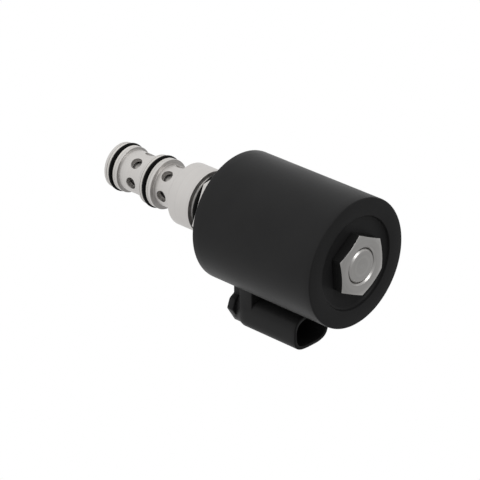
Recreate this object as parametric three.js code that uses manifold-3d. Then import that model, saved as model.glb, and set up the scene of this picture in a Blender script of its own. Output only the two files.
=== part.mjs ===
// Screw-in solenoid cartridge valve: three ports, two positions, spool type.
// Millimetres. +X runs along the valve from the nose to the coil nut and +Z is up. The origin is
// the centre of the seating face under the wrench hex. The connector hangs below the coil.
import * as THREE from "three";
import { mergeVertices } from "three/addons/utils/BufferGeometryUtils.js";
import Module from "manifold-3d";

// ---- driving dimensions -------------------------------------------------------------------

// clearances
const seatGap = 0.3; // between faces that rest on each other
const slipGap = 0.1; // radial, where one turned piece sits in another
const runGap = 0.08; // radial, where a turned piece slides in another
const overrun = 1; // how far a cutting tool runs past what it cuts

// screw-in body
const threadRadius = 11.1;
const threadLength = 9.65;
const neckRadius = 9.4;
const neckLength = 5.2;
const hexAcrossFlats = 25.4;
const hexHeight = 7.6;
const hexClocking = 22.8; // degrees of a corner from up
const bodyChamfer = 0.5;
const webSetback = 0.8; // cage's bore ends this far inside the threaded part

// ported cage
const reach = 48.6; // nose to seating face
const cageBore = 5.5;
const noseLandRadius = 8.2;
const noseLandLength = 6.5;
const noseWaistRadius = 7.3;
const midLandRadius = 8.9;
const midLandLength = 5.8;
const coneLength = 1.4;
const upperWaistRadius = 7.4;
const upperWaistLength = 10.35;
const spigotRadius = 6.7;
const portRadius = 2.1;
const portCount = 6;
const portClocking = 23.5; // degrees of a hole from up
const nosePortOffset = 5.8; // nose land to the first row's centre
const upperPortOffset = 3.6; // mid land to the second row's centre

// seals on the cage: an O-ring between two backup rings
const sealLip = 1.5; // land left in front of a groove
const midSealLip = 0.7;
const cageRingSection = 0.95; // section radius of the O-ring
const cageRingProud = 0.48;
const backupThickness = 0.85;
const backupBelowLand = 0.05;

// other seals
const bossRingSection = 1.2;
const bossRingSetback = 0.7; // from the seat
const coilRingSection = 0.8;

// spool and its spring
const stroke = 3;
const stemRadius = 4.9;
const spoolBore = 2.2;
const guideOverlap = 1.1; // land kept beyond the nose ports
const meteringLand = 2;
const headLandLength = 4;
const headBossRadius = 3;
const headBossLength = 2.2;
const crossHoleRadius = 1.3;
const crossHoleCount = 4;
const balanceHoleRadius = 0.5;
const springWire = 0.35; // wire radius
const springMeanRadius = 3.1;
const springTurns = 3.5;
const springPocket = 3.3; // depth in the spool's nose
const seatThickness = 0.8;
const seatHole = 2.2;
const ringSetback = 0.3; // from the nose
const ringThickness = 0.8;
const ringDepth = 0.6; // how far the retaining ring reaches into the cage
const ringOpening = 50; // degrees

// solenoid tube
const tubeRadius = 7.9;
const tubeWall = 0.9;
const tubeSocket = 5.9; // how deep the tube stands in the hex
const pinRadius = 1.5;
const bushWall = 0.7;
const bushLength = 4.6;
const poleSpigotRadius = 3.7;
const poleLength = 28.3; // main diameter of the pole piece
const poleBevel = 1.5;
const shimThickness = 0.4;
const shimRadius = 5.2;
const pinGrip = 10; // depth of the pin in the armature
const ventWidth = 1.6;
const ventDepth = 1;
const plugBody = 4.9;
const plugCap = 0.7;

// coil
const coilRadius = 22.5;
const coilLength = 52.2;
const coilEdge = 0.5;
const shellWall = 1.8;
const rearWall = 3.2;
const frontWall = 2.2;
const recessRadius = 16.3;
const recessDepth = 1.6;
const recessFillet = 1.4;
const fluxWall = 1.7;
const fluxWasher = 3;
const bobbinHub = 1.1;
const bobbinFlange = 1.4;
const windingShy = 0.4; // winding below the bobbin's flange

// coil nut
const nutAcrossFlats = 19.5;
const nutProud = 2.6; // nut face above the coil face
const nutClocking = -5.3;
const studRadius = 5.85;
const studChamfer = 0.6;
const hexChamferSlope = 0.36;

// connector, moulded on the coil's underside
const barrelHalfWidth = 8.35;
const barrelHalfHeight = 6.2;
const barrelCorner = 5;
const barrelGap = 2.5; // open space between the coil and the barrel
const barrelWall = 1.2;
const barrelLength = 27.7;
const socketDepth = 20.5;
const pedestalHalfWidth = 5.6; // rear part, as far as the bridge
const bridgeHalfWidth = 8.2;
const bridgeStart = 5.1; // end plate's rear to the bridge
const bridgeLength = 5.6;
const endPlate = 2.7;
const endPlateHalfWidth = 8.7;
const endPlateHip = 0.9; // height of its full width, up from the barrel's centre
const endPlateShoulder = 5; // from the barrel's centre up to where it widens
const endPlateSlant = 57; // degrees of its lower corners
const endPlateRise = 0.6; // of its foot above the barrel's underside
const connectorSetback = 2.7; // coil's rear face to the end plate
const pinSpacing = 5.8;
const terminalRadius = 0.75;
const terminalReach = 14; // length of a contact in the socket

// facets
const roundFacets = 24;
const coilFacets = 48;
const holeFacets = 12;
const springFacets = 12; // steps in one turn of the spring
const sectionFacets = 6;

// ---- stations along X ---------------------------------------------------------------------

const threadStart = -(threadLength + neckLength);
const noseEnd = -reach;
const noseLandEnd = noseEnd + noseLandLength;
const midLandEnd = threadStart - upperWaistLength;
const midLandStart = midLandEnd - midLandLength;
const nosePort = noseLandEnd + nosePortOffset;
const upperPort = midLandEnd + upperPortOffset;

const webStart = -neckLength - webSetback;
const spigotEnd = webStart - seatGap;

const sealGroove = 2 * backupThickness + 2 * cageRingSection + 2 * slipGap;

const ringStart = noseEnd + ringSetback;
const seatStart = ringStart + ringThickness + slipGap;
const seatFace = seatStart + seatThickness;
const spoolNose = seatFace + seatGap + stroke;
const pocketFloor = spoolNose + springPocket;
const guideLandEnd = nosePort - portRadius - guideOverlap;
const meteringStart = nosePort - portRadius - slipGap + stroke;
const meteringEnd = meteringStart + meteringLand;
const headLandStart = upperPort + portRadius + stroke;
const headLandEnd = headLandStart + headLandLength;
const spoolTop = headLandEnd + headBossLength;

const tubeStart = hexHeight - tubeSocket;
const poleFoot = webStart + seatGap;
const poleFace = tubeStart + poleLength;
const shimStart = poleFace + seatGap;
const shimEnd = shimStart + shimThickness;
const armatureStart = shimEnd + seatGap + stroke;

const coilStart = hexHeight + seatGap;
const coilEnd = coilStart + coilLength;
const recessFloor = coilEnd - recessDepth;
const capEnd = recessFloor - seatGap;
const capStart = capEnd - plugCap;
const tubeEnd = capStart - seatGap;
const plugStart = tubeEnd - plugBody;
const armatureEnd = plugStart - seatGap;
const nutStart = recessFloor + 2 * slipGap;
const nutEnd = coilEnd + nutProud;

const cavityStart = coilStart + rearWall;
const cavityEnd = recessFloor - frontWall;
const rearWasherEnd = cavityStart + seatGap + fluxWasher;
const frontWasherStart = cavityEnd - seatGap - fluxWasher;
const bobbinStart = rearWasherEnd + seatGap;
const bobbinEnd = frontWasherStart - seatGap;

const coilBore = tubeRadius + 0.2;
const cavityRadius = coilRadius - shellWall;
const fluxOuter = cavityRadius - seatGap;
const fluxInner = fluxOuter - fluxWall;
const bobbinBore = coilBore + slipGap;
const bobbinOuter = fluxInner - seatGap;

const connectorStart = coilStart + connectorSetback;
const plateEnd = connectorStart + endPlate;
const barrelEnd = plateEnd + barrelLength;
const barrelCentre = -(coilRadius + barrelGap + barrelHalfHeight);
const socketStart = barrelEnd - socketDepth;
const terminalLeg = bobbinStart + bobbinFlange + seatGap + terminalRadius;

// ---- shape helpers ------------------------------------------------------------------------

const wasm = await Module();
wasm.setup();

const FROM_LATHE = new THREE.Matrix4().makeRotationZ(-Math.PI / 2);
const FROM_SHAPE = new THREE.Matrix4().makeBasis(
  new THREE.Vector3(0, 1, 0),
  new THREE.Vector3(0, 0, 1),
  new THREE.Vector3(1, 0, 0),
);

// Revolves [x, radius] points about X. Points run towards +X outside and come back inside.
function turned(points, facets = roundFacets) {
  const outline = points.map(([x, radius]) => new THREE.Vector2(radius, x));
  const onAxis = points[0][1] === 0 && points.at(-1)[1] === 0;
  if (!onAxis) outline.push(outline[0].clone());
  return new THREE.LatheGeometry(outline, facets).applyMatrix4(FROM_LATHE);
}

// Extrudes a shape drawn in (Y, Z) from x to x + length.
function extruded(shape, x, length, curveSegments = 6) {
  const options = { depth: length, bevelEnabled: false, curveSegments };
  const geometry = new THREE.ExtrudeGeometry(shape, options);
  return geometry.applyMatrix4(FROM_SHAPE).translate(x, 0, 0);
}

function box(lengths, centre) {
  return new THREE.BoxGeometry(...lengths).translate(...centre);
}

// A cylinder along the Z axis of its own frame, turned about X by an angle from up.
function radialCylinder(radius, x, from, to, degrees, facets = holeFacets) {
  const geometry = new THREE.CylinderGeometry(radius, radius, to - from, facets);
  geometry.rotateX(Math.PI / 2).translate(x, 0, (from + to) / 2);
  return geometry.rotateX(THREE.MathUtils.degToRad(-degrees));
}

function solid(geometry) {
  const bare = new THREE.BufferGeometry();
  bare.setAttribute("position", geometry.getAttribute("position"));
  if (geometry.index) bare.setIndex(geometry.index);
  const merged = mergeVertices(bare, 1e-4);
  const mesh = new wasm.Mesh({
    numProp: 3,
    vertProperties: new Float32Array(merged.attributes.position.array),
    triVerts: new Uint32Array(merged.index.array),
  });
  return new wasm.Manifold(mesh);
}

function geometryOf(manifold) {
  const { vertProperties, triVerts } = manifold.getMesh();
  const geometry = new THREE.BufferGeometry();
  geometry.setAttribute("position", new THREE.BufferAttribute(vertProperties, 3));
  geometry.setIndex(new THREE.BufferAttribute(triVerts, 1));
  return geometry;
}

function cut(geometry, tools) {
  return geometryOf(tools.reduce((left, tool) => left.subtract(solid(tool)), solid(geometry)));
}

function joined(geometries) {
  return geometryOf(geometries.map(solid).reduce((whole, piece) => whole.add(piece)));
}

// A closed ring of round section about X.
function torus(centreRadius, sectionRadius, x, facets = roundFacets) {
  const points = Array.from({ length: sectionFacets }, (_, i) => {
    const angle = Math.PI * 1.5 - (2 * Math.PI * i) / sectionFacets;
    return [x + sectionRadius * Math.cos(angle), centreRadius + sectionRadius * Math.sin(angle)];
  });
  return turned(points, facets);
}

function ring(x0, x1, inner, outer, facets = roundFacets) {
  return turned([[x0, inner], [x0, outer], [x1, outer], [x1, inner]], facets);
}

function hexagon(acrossFlats, degrees) {
  const corner = acrossFlats / Math.sqrt(3);
  const corners = Array.from({ length: 6 }, (_, i) => {
    const angle = THREE.MathUtils.degToRad(degrees + 60 * i);
    return new THREE.Vector2(corner * Math.sin(angle), corner * Math.cos(angle));
  });
  return new THREE.Shape(corners.reverse());
}

// A hexagonal bar whose far end has its corners turned off.
function hexBar(acrossFlats, degrees, x0, x1) {
  const corner = acrossFlats / Math.sqrt(3) + overrun;
  const flat = acrossFlats / 2;
  const drop = (corner - flat) * hexChamferSlope;
  const turnedBlank = turned([[x0, 0], [x0, corner], [x1 - drop, corner], [x1, flat], [x1, 0]]);
  const bar = solid(extruded(hexagon(acrossFlats, degrees), x0, x1 - x0));
  return geometryOf(bar.intersect(solid(turnedBlank)));
}

const assembly = new THREE.Group();

function add(name, geometry, color, roughness, metalness) {
  const material = new THREE.MeshStandardMaterial({ color, roughness, metalness });
  const mesh = new THREE.Mesh(geometry, material);
  mesh.name = name;
  assembly.add(mesh);
}

const addSteel = (name, geometry) => add(name, geometry, 0xc4c0bc, 0.38, 0.9);
const addIron = (name, geometry) => add(name, geometry, 0x9a9896, 0.45, 0.9);
const addBrass = (name, geometry) => add(name, geometry, 0xb08d4a, 0.35, 0.9);
const addRubber = (name, geometry) => add(name, geometry, 0x0d0d0d, 0.6, 0);
const addMoulding = (name, geometry) => add(name, geometry, 0x26272a, 0.55, 0);
const addSlipRing = (name, geometry) => add(name, geometry, 0xdedbd4, 0.5, 0);

// ---- cage and its seals -------------------------------------------------------------------

const noseGroove = noseEnd + sealLip;
const midGroove = midLandStart + midSealLip;

// The groove's points for a land of the given radius, from its left wall to its right wall.
function groove(x, landRadius) {
  const floor = landRadius + cageRingProud - 2 * cageRingSection - slipGap;
  return [[x, landRadius], [x, floor], [x + sealGroove, floor], [x + sealGroove, landRadius]];
}

function buildCage() {
  const step = threadStart - seatGap;
  const ringFloor = cageBore + ringDepth + slipGap;
  const blank = turned([
    [noseEnd, cageBore + bodyChamfer],
    [noseEnd, noseLandRadius - bodyChamfer],
    [noseEnd + bodyChamfer, noseLandRadius],
    ...groove(noseGroove, noseLandRadius),
    [noseLandEnd, noseLandRadius],
    [noseLandEnd, noseWaistRadius],
    [midLandStart - coneLength, noseWaistRadius],
    [midLandStart, midLandRadius],
    ...groove(midGroove, midLandRadius),
    [midLandEnd, midLandRadius],
    [midLandEnd, upperWaistRadius],
    [step, upperWaistRadius],
    [step, spigotRadius],
    [spigotEnd, spigotRadius],
    [spigotEnd, cageBore],
    [ringStart + ringThickness + slipGap / 2, cageBore],
    [ringStart + ringThickness + slipGap / 2, ringFloor],
    [ringStart - slipGap / 2, ringFloor],
    [ringStart - slipGap / 2, cageBore],
    [noseEnd + bodyChamfer / 2, cageBore],
  ]);
  const holes = [];
  for (const x of [nosePort, upperPort]) {
    for (let i = 0; i < portCount; i += 1) {
      const degrees = portClocking + (360 / portCount) * i;
      holes.push(radialCylinder(portRadius, x, cageBore / 2, midLandRadius + overrun, degrees));
    }
  }
  return cut(blank, holes);
}

function addSealSet(name, grooveStart, landRadius) {
  const ringCentre = landRadius + cageRingProud - cageRingSection;
  const inner = ringCentre - cageRingSection;
  const outer = landRadius - backupBelowLand;
  const front = grooveStart + slipGap / 2;
  const middle = grooveStart + sealGroove / 2;
  const rear = grooveStart + sealGroove - slipGap / 2 - backupThickness;
  addSlipRing(`${name}_backup_ring_front`, ring(front, front + backupThickness, inner, outer));
  addRubber(`${name}_o_ring`, torus(ringCentre, cageRingSection, middle));
  addSlipRing(`${name}_backup_ring_rear`, ring(rear, rear + backupThickness, inner, outer));
}

addSteel("cage", buildCage());
addSealSet("nose", noseGroove, noseLandRadius);
addSealSet("mid", midGroove, midLandRadius);

// ---- screw-in body ------------------------------------------------------------------------

function buildHexAdapter() {
  const shank = turned([
    [threadStart, 0],
    [threadStart, threadRadius - bodyChamfer],
    [threadStart + bodyChamfer, threadRadius],
    [-neckLength, threadRadius],
    [-neckLength, neckRadius],
    [overrun, neckRadius],
    [overrun, 0],
  ]);
  const bores = turned([
    [threadStart - overrun, 0],
    [threadStart - overrun, spigotRadius + slipGap],
    [webStart, spigotRadius + slipGap],
    [webStart, poleSpigotRadius + slipGap],
    [tubeStart - seatGap, poleSpigotRadius + slipGap],
    [tubeStart - seatGap, tubeRadius + slipGap],
    [hexHeight + overrun, tubeRadius + slipGap],
    [hexHeight + overrun, 0],
  ]);
  return cut(joined([shank, hexBar(hexAcrossFlats, hexClocking, 0, hexHeight)]), [bores]);
}

addSteel("hex_adapter", buildHexAdapter());
addRubber(
  "boss_o_ring",
  torus(neckRadius + slipGap + bossRingSection, bossRingSection, -bossRingSection - bossRingSetback),
);

// ---- spool, its spring and what holds the spring ------------------------------------------

function buildSpool() {
  const landRadius = cageBore - runGap;
  const pocketRadius = springMeanRadius + springWire + slipGap;
  const blank = turned([
    [spoolNose, 0],
    [spoolNose, landRadius],
    [guideLandEnd, landRadius],
    [guideLandEnd, stemRadius],
    [meteringStart, stemRadius],
    [meteringStart, landRadius],
    [meteringEnd, landRadius],
    [meteringEnd, stemRadius],
    [headLandStart, stemRadius],
    [headLandStart, landRadius],
    [headLandEnd, landRadius],
    [headLandEnd, headBossRadius],
    [spoolTop, headBossRadius],
    [spoolTop, 0],
  ]);
  const boreEnd = spoolTop - headBossLength / 3;
  const bore = turned([
    [spoolNose - overrun, 0],
    [spoolNose - overrun, pocketRadius],
    [pocketFloor, pocketRadius],
    [pocketFloor, spoolBore],
    [boreEnd, spoolBore],
    [boreEnd, 0],
  ]);
  const tools = [bore];
  const crossHoles = (guideLandEnd + meteringStart) / 2;
  const balanceHole = headLandEnd + headBossLength / 3;
  for (let i = 0; i < crossHoleCount; i += 1) {
    const degrees = (360 / crossHoleCount) * i;
    tools.push(radialCylinder(crossHoleRadius, crossHoles, spoolBore / 2, cageBore, degrees));
  }
  tools.push(radialCylinder(balanceHoleRadius, balanceHole, 0, headBossRadius + overrun, 0, 8));
  return cut(blank, tools);
}

class Helix extends THREE.Curve {
  constructor(x0, x1, radius, turns) {
    super();
    Object.assign(this, { x0, x1, radius, turns });
  }
  getPoint(t, target = new THREE.Vector3()) {
    const angle = 2 * Math.PI * this.turns * t;
    const x = THREE.MathUtils.lerp(this.x0, this.x1, t);
    return target.set(x, this.radius * Math.sin(angle), this.radius * Math.cos(angle));
  }
}

function buildSpring() {
  const from = seatFace + springWire + slipGap;
  const to = pocketFloor - springWire - slipGap;
  const section = new THREE.Shape(
    Array.from({ length: sectionFacets }, (_, i) => {
      const angle = (2 * Math.PI * i) / sectionFacets;
      return new THREE.Vector2(springWire * Math.cos(angle), springWire * Math.sin(angle));
    }),
  );
  const extrudePath = new Helix(from, to, springMeanRadius, springTurns);
  const steps = Math.round(springTurns * springFacets);
  return new THREE.ExtrudeGeometry(section, { steps, extrudePath, bevelEnabled: false });
}

// An open snap ring that stands in the cage's groove.
function buildRetainingRing() {
  const outer = cageBore + ringDepth;
  const blank = ring(ringStart, ringStart + ringThickness, outer - 2 * ringDepth, outer);
  const gap = 2 * outer * Math.sin(THREE.MathUtils.degToRad(ringOpening / 2));
  return cut(blank, [box([4 * ringThickness, gap, 2 * outer], [ringStart, 0, outer])]);
}

addSteel("spool", buildSpool());
addSteel("return_spring", buildSpring());
addSteel("spring_seat", ring(seatStart, seatFace, seatHole, cageBore - slipGap));
addSteel("nose_retaining_ring", buildRetainingRing());

// ---- solenoid tube ------------------------------------------------------------------------

const tubeBore = tubeRadius - tubeWall;
const bushRadius = pinRadius + runGap + bushWall;
const pinTip = spoolTop + 2 * slipGap;
const pinEnd = armatureStart + pinGrip;

function buildPolePiece() {
  const radius = tubeBore - slipGap;
  const blank = turned([
    [poleFoot, 0],
    [poleFoot, poleSpigotRadius],
    [tubeStart, poleSpigotRadius],
    [tubeStart, radius],
    [poleFace - poleBevel, radius],
    [poleFace, radius - poleBevel],
    [poleFace, 0],
  ]);
  const bushSeat = bushLength + 2 * seatGap;
  const bore = turned([
    [poleFoot - overrun, 0],
    [poleFoot - overrun, bushRadius + slipGap],
    [poleFoot + bushSeat, bushRadius + slipGap],
    [poleFoot + bushSeat, pinRadius + seatGap],
    [poleFace - bushSeat, pinRadius + seatGap],
    [poleFace - bushSeat, bushRadius + slipGap],
    [poleFace + overrun, bushRadius + slipGap],
    [poleFace + overrun, 0],
  ]);
  return cut(blank, [bore]);
}

function buildArmature() {
  const radius = tubeBore - runGap;
  const blank = turned([
    [armatureStart, 0],
    [armatureStart, radius - bodyChamfer],
    [armatureStart + bodyChamfer, radius],
    [armatureEnd - bodyChamfer, radius],
    [armatureEnd, radius - bodyChamfer],
    [armatureEnd, 0],
  ]);
  const pinHole = turned([
    [armatureStart - overrun, 0],
    [armatureStart - overrun, pinRadius + slipGap],
    [pinEnd + slipGap, pinRadius + slipGap],
    [pinEnd + slipGap, 0],
  ]);
  const length = armatureEnd - armatureStart + 2 * overrun;
  const middle = (armatureStart + armatureEnd) / 2;
  const vents = [1, -1].map((side) =>
    box([length, ventWidth, 2 * ventDepth], [middle, 0, side * radius]),
  );
  return cut(blank, [pinHole, ...vents]);
}

function buildTubeEndPlug() {
  return turned([
    [plugStart, 0],
    [plugStart, tubeBore - slipGap],
    [capStart, tubeBore - slipGap],
    [capStart, tubeRadius],
    [capEnd, tubeRadius],
    [capEnd, studRadius],
    [nutEnd - studChamfer, studRadius],
    [nutEnd, studRadius - studChamfer],
    [nutEnd, 0],
  ]);
}

function bushAt(x) {
  return ring(x, x + bushLength, pinRadius + runGap, bushRadius, 24);
}

addSteel("guide_tube", ring(tubeStart, tubeEnd, tubeBore, tubeRadius));
addIron("pole_piece", buildPolePiece());
addBrass("pin_bush_lower", bushAt(poleFoot + seatGap));
addBrass("pin_bush_upper", bushAt(poleFace - seatGap - bushLength));
addSteel("push_pin", turned([[pinTip, 0], [pinTip, pinRadius], [pinEnd, pinRadius], [pinEnd, 0]], 24));
addBrass("anti_stick_shim", ring(shimStart, shimEnd, bushRadius, shimRadius, 24));
addIron("armature", buildArmature());
addSteel("tube_end_plug", buildTubeEndPlug());

// ---- coil nut -----------------------------------------------------------------------------

const nutBore = studRadius + 2.5 * slipGap;
const nutSealOuter = nutBore + 2 * coilRingSection + 4 * slipGap;
const coilSealGroove = 2 * coilRingSection + slipGap;

function buildCoilNut() {
  const hex = hexBar(nutAcrossFlats, nutClocking, nutStart, nutEnd);
  const bore = turned([
    [nutStart - overrun, 0],
    [nutStart - overrun, nutSealOuter],
    [nutStart + coilSealGroove, nutSealOuter],
    [nutStart + coilSealGroove, nutBore],
    [nutEnd - studChamfer, nutBore],
    [nutEnd + overrun, nutBore + studChamfer + overrun],
    [nutEnd + overrun, 0],
  ]);
  return cut(hex, [bore]);
}

addSteel("coil_nut", buildCoilNut());
addRubber(
  "nut_o_ring",
  torus(nutSealOuter - coilRingSection - slipGap, coilRingSection, nutStart + coilRingSection),
);

// ---- coil ---------------------------------------------------------------------------------

const baseSealOuter = coilBore + 2 * coilRingSection + 2 * slipGap;
const terminalTop = -(bobbinOuter + seatGap);
const terminalSides = [["left", -1], ["right", 1]];

function roundedRectangle(halfWidth, halfHeight, radius, centre) {
  const shape = new THREE.Shape();
  const left = -halfWidth + radius;
  const right = halfWidth - radius;
  const bottom = centre - halfHeight + radius;
  const top = centre + halfHeight - radius;
  shape.absarc(right, top, radius, 0, Math.PI / 2);
  shape.absarc(left, top, radius, Math.PI / 2, Math.PI);
  shape.absarc(left, bottom, radius, Math.PI, Math.PI * 1.5);
  shape.absarc(right, bottom, radius, Math.PI * 1.5, Math.PI * 2);
  return shape;
}

// The connector's rear wall: as wide as the pedestal at the coil, full width at the barrel and
// narrowed again by two slanted lower corners.
function endPlateShape() {
  const shoulder = barrelCentre + endPlateShoulder;
  const bend = (shoulder + barrelCentre) / 2;
  const middle = barrelCentre + endPlateHip;
  const hip = barrelCentre;
  const foot = barrelCentre - barrelHalfHeight + endPlateRise;
  const slant = Math.tan(THREE.MathUtils.degToRad(endPlateSlant));
  const footHalfWidth = endPlateHalfWidth - (hip - foot) / slant;
  const top = pedestalTop(pedestalHalfWidth);
  const shape = new THREE.Shape();
  shape.moveTo(-footHalfWidth, foot);
  shape.lineTo(footHalfWidth, foot);
  shape.lineTo(endPlateHalfWidth, hip);
  shape.lineTo(endPlateHalfWidth, middle);
  shape.quadraticCurveTo(endPlateHalfWidth, bend, pedestalHalfWidth, shoulder);
  shape.lineTo(pedestalHalfWidth, top);
  shape.lineTo(-pedestalHalfWidth, top);
  shape.lineTo(-pedestalHalfWidth, shoulder);
  shape.quadraticCurveTo(-endPlateHalfWidth, bend, -endPlateHalfWidth, middle);
  shape.lineTo(-endPlateHalfWidth, hip);
  return shape;
}

// Height at which a block of this half width starts inside the shell's wall.
function pedestalTop(halfWidth) {
  return -Math.sqrt((coilRadius - shellWall / 3) ** 2 - halfWidth ** 2);
}

// A block between the coil and the barrel, from one station to another.
function pedestalBlock(from, to, halfWidth) {
  const height = pedestalTop(halfWidth) - barrelCentre;
  return box([to - from, 2 * halfWidth, height], [(from + to) / 2, 0, barrelCentre + height / 2]);
}

// A round contact with a leg up into the coil, grown all over by a margin.
function terminal(side, margin) {
  const y = (side * pinSpacing) / 2;
  const radius = terminalRadius + margin;
  const tip = socketStart + terminalReach + margin;
  const bottom = barrelCentre - radius;
  const top = terminalTop + 3 * margin;
  const contact = turned(
    [[terminalLeg, 0], [terminalLeg, radius], [tip - radius, radius], [tip, radius / 2], [tip, 0]],
    12,
  );
  const leg = box([2 * radius, 2 * radius, top - bottom], [terminalLeg, y, (top + bottom) / 2]);
  return joined([contact.translate(0, y, barrelCentre), leg]);
}

function buildCoilHousing() {
  const shell = turned(
    [
      [coilStart, 0],
      [coilStart, coilRadius - coilEdge],
      [coilStart + coilEdge, coilRadius],
      [coilEnd - coilEdge, coilRadius],
      [coilEnd, coilRadius - coilEdge],
      [coilEnd, recessRadius],
      [recessFloor + recessFillet / 4, recessRadius - recessFillet / 4],
      [recessFloor, recessRadius - recessFillet],
      [recessFloor, 0],
    ],
    coilFacets,
  );
  const inside = turned(
    [
      [coilStart - overrun, 0],
      [coilStart - overrun, baseSealOuter],
      [coilStart + coilSealGroove, baseSealOuter],
      [coilStart + coilSealGroove, coilBore],
      [cavityStart, coilBore],
      [cavityStart, cavityRadius],
      [cavityEnd, cavityRadius],
      [cavityEnd, coilBore],
      [recessFloor + overrun, coilBore],
      [recessFloor + overrun, 0],
    ],
    coilFacets,
  );
  const barrel = roundedRectangle(barrelHalfWidth, barrelHalfHeight, barrelCorner, barrelCentre);
  const socket = roundedRectangle(
    barrelHalfWidth - barrelWall,
    barrelHalfHeight - barrelWall,
    barrelCorner - barrelWall,
    barrelCentre,
  );
  const bridge = connectorStart + bridgeStart;
  const whole = joined([
    shell,
    pedestalBlock(connectorStart, bridge + seatGap, pedestalHalfWidth),
    pedestalBlock(bridge, bridge + bridgeLength, bridgeHalfWidth),
    extruded(endPlateShape(), connectorStart, endPlate),
    extruded(barrel, plateEnd - seatGap, barrelEnd - plateEnd + seatGap),
  ]);
  const channels = terminalSides.map(([, side]) => terminal(side, seatGap));
  return cut(whole, [inside, extruded(socket, socketStart, socketDepth + overrun), ...channels]);
}

function buildFluxTube() {
  const blank = ring(bobbinStart, bobbinEnd, fluxInner, fluxOuter, coilFacets);
  const width = pinSpacing + 2 * terminalRadius + 4 * seatGap;
  const end = terminalLeg + terminalRadius + 2 * seatGap;
  const length = end - bobbinStart + overrun;
  return cut(blank, [box([length, width, fluxOuter], [end - length / 2, 0, -fluxOuter])]);
}

function buildBobbin() {
  const hub = bobbinBore + bobbinHub;
  return turned([
    [bobbinStart, bobbinBore],
    [bobbinStart, bobbinOuter],
    [bobbinStart + bobbinFlange, bobbinOuter],
    [bobbinStart + bobbinFlange, hub],
    [bobbinEnd - bobbinFlange, hub],
    [bobbinEnd - bobbinFlange, bobbinOuter],
    [bobbinEnd, bobbinOuter],
    [bobbinEnd, bobbinBore],
  ]);
}

function buildWinding() {
  const from = bobbinStart + bobbinFlange + seatGap;
  const to = bobbinEnd - bobbinFlange - seatGap;
  return ring(from, to, bobbinBore + bobbinHub + seatGap, bobbinOuter - windingShy);
}

addMoulding("coil_housing", buildCoilHousing());
addRubber(
  "coil_base_o_ring",
  torus(baseSealOuter - coilRingSection - slipGap, coilRingSection, coilStart + coilRingSection),
);
const rearWasher = cavityStart + seatGap;
addIron("flux_washer_rear", ring(rearWasher, rearWasherEnd, bobbinBore, fluxOuter));
addIron(
  "flux_washer_front",
  ring(frontWasherStart, frontWasherStart + fluxWasher, bobbinBore, fluxOuter),
);
addIron("flux_tube", buildFluxTube());
add("bobbin", buildBobbin(), 0xe6e2d6, 0.5, 0);
add("winding", buildWinding(), 0xa8642c, 0.35, 0.8);
for (const [name, side] of terminalSides) addBrass(`terminal_pin_${name}`, terminal(side, 0));

export default assembly;
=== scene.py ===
"""Looks of a screw-in solenoid cartridge valve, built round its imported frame.

Lengths are metres. +X runs along the valve from the nose to the coil nut, and +Z is up. Angles
about the valve are measured from up towards +Y.
"""
import math
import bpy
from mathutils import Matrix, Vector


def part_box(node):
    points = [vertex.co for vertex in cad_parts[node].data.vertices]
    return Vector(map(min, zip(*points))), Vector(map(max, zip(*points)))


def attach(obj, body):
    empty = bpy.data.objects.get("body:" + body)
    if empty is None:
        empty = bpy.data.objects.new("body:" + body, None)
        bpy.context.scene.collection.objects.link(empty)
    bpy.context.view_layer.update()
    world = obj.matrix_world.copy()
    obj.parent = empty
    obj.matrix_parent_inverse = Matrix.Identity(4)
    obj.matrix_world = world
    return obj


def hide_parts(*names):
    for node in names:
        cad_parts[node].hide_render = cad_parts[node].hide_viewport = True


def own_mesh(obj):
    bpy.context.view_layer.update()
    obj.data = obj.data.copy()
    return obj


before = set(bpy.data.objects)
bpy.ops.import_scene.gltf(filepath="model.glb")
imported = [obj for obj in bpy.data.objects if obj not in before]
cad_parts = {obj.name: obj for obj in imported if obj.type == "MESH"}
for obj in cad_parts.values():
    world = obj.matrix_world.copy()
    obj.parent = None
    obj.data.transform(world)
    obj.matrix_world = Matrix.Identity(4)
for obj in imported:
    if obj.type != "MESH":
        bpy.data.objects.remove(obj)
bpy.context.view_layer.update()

from types import SimpleNamespace

import bmesh
import bpy
import numpy as np
from bpy.props import FloatProperty, FloatVectorProperty, IntProperty, PointerProperty
from bpy.types import Operator, Panel, PropertyGroup
from mathutils import Matrix, Vector

bl_info = {
    "name": "Solenoid Cartridge Valve",
    "version": (1, 0, 0),
    "blender": (4, 5, 0),
    "location": "View3D > Sidebar > Valve",
    "description": "Builds a screw-in solenoid cartridge valve, piece by piece, with its finishes",
    "category": "Add Mesh",
}

MM = 0.001
WELD = 1e-7


def reach(node):
    """The lowest and highest X of a node of the frame."""
    low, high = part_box(node)
    return low.x, high.x


# ---- settings -----------------------------------------------------------------------------


def length(name, millimetres, description):
    return FloatProperty(
        name=name, description=description, default=millimetres * MM, unit="LENGTH", precision=5
    )


def angle(name, degrees, description):
    return FloatProperty(
        name=name, description=description, default=math.radians(degrees), subtype="ANGLE"
    )


def count(name, number, description):
    return IntProperty(name=name, description=description, default=number, min=1)


def colour(name, rgb, description):
    return FloatVectorProperty(
        name=name, description=description, default=rgb, subtype="COLOR", min=0.0, max=1.0
    )


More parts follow.
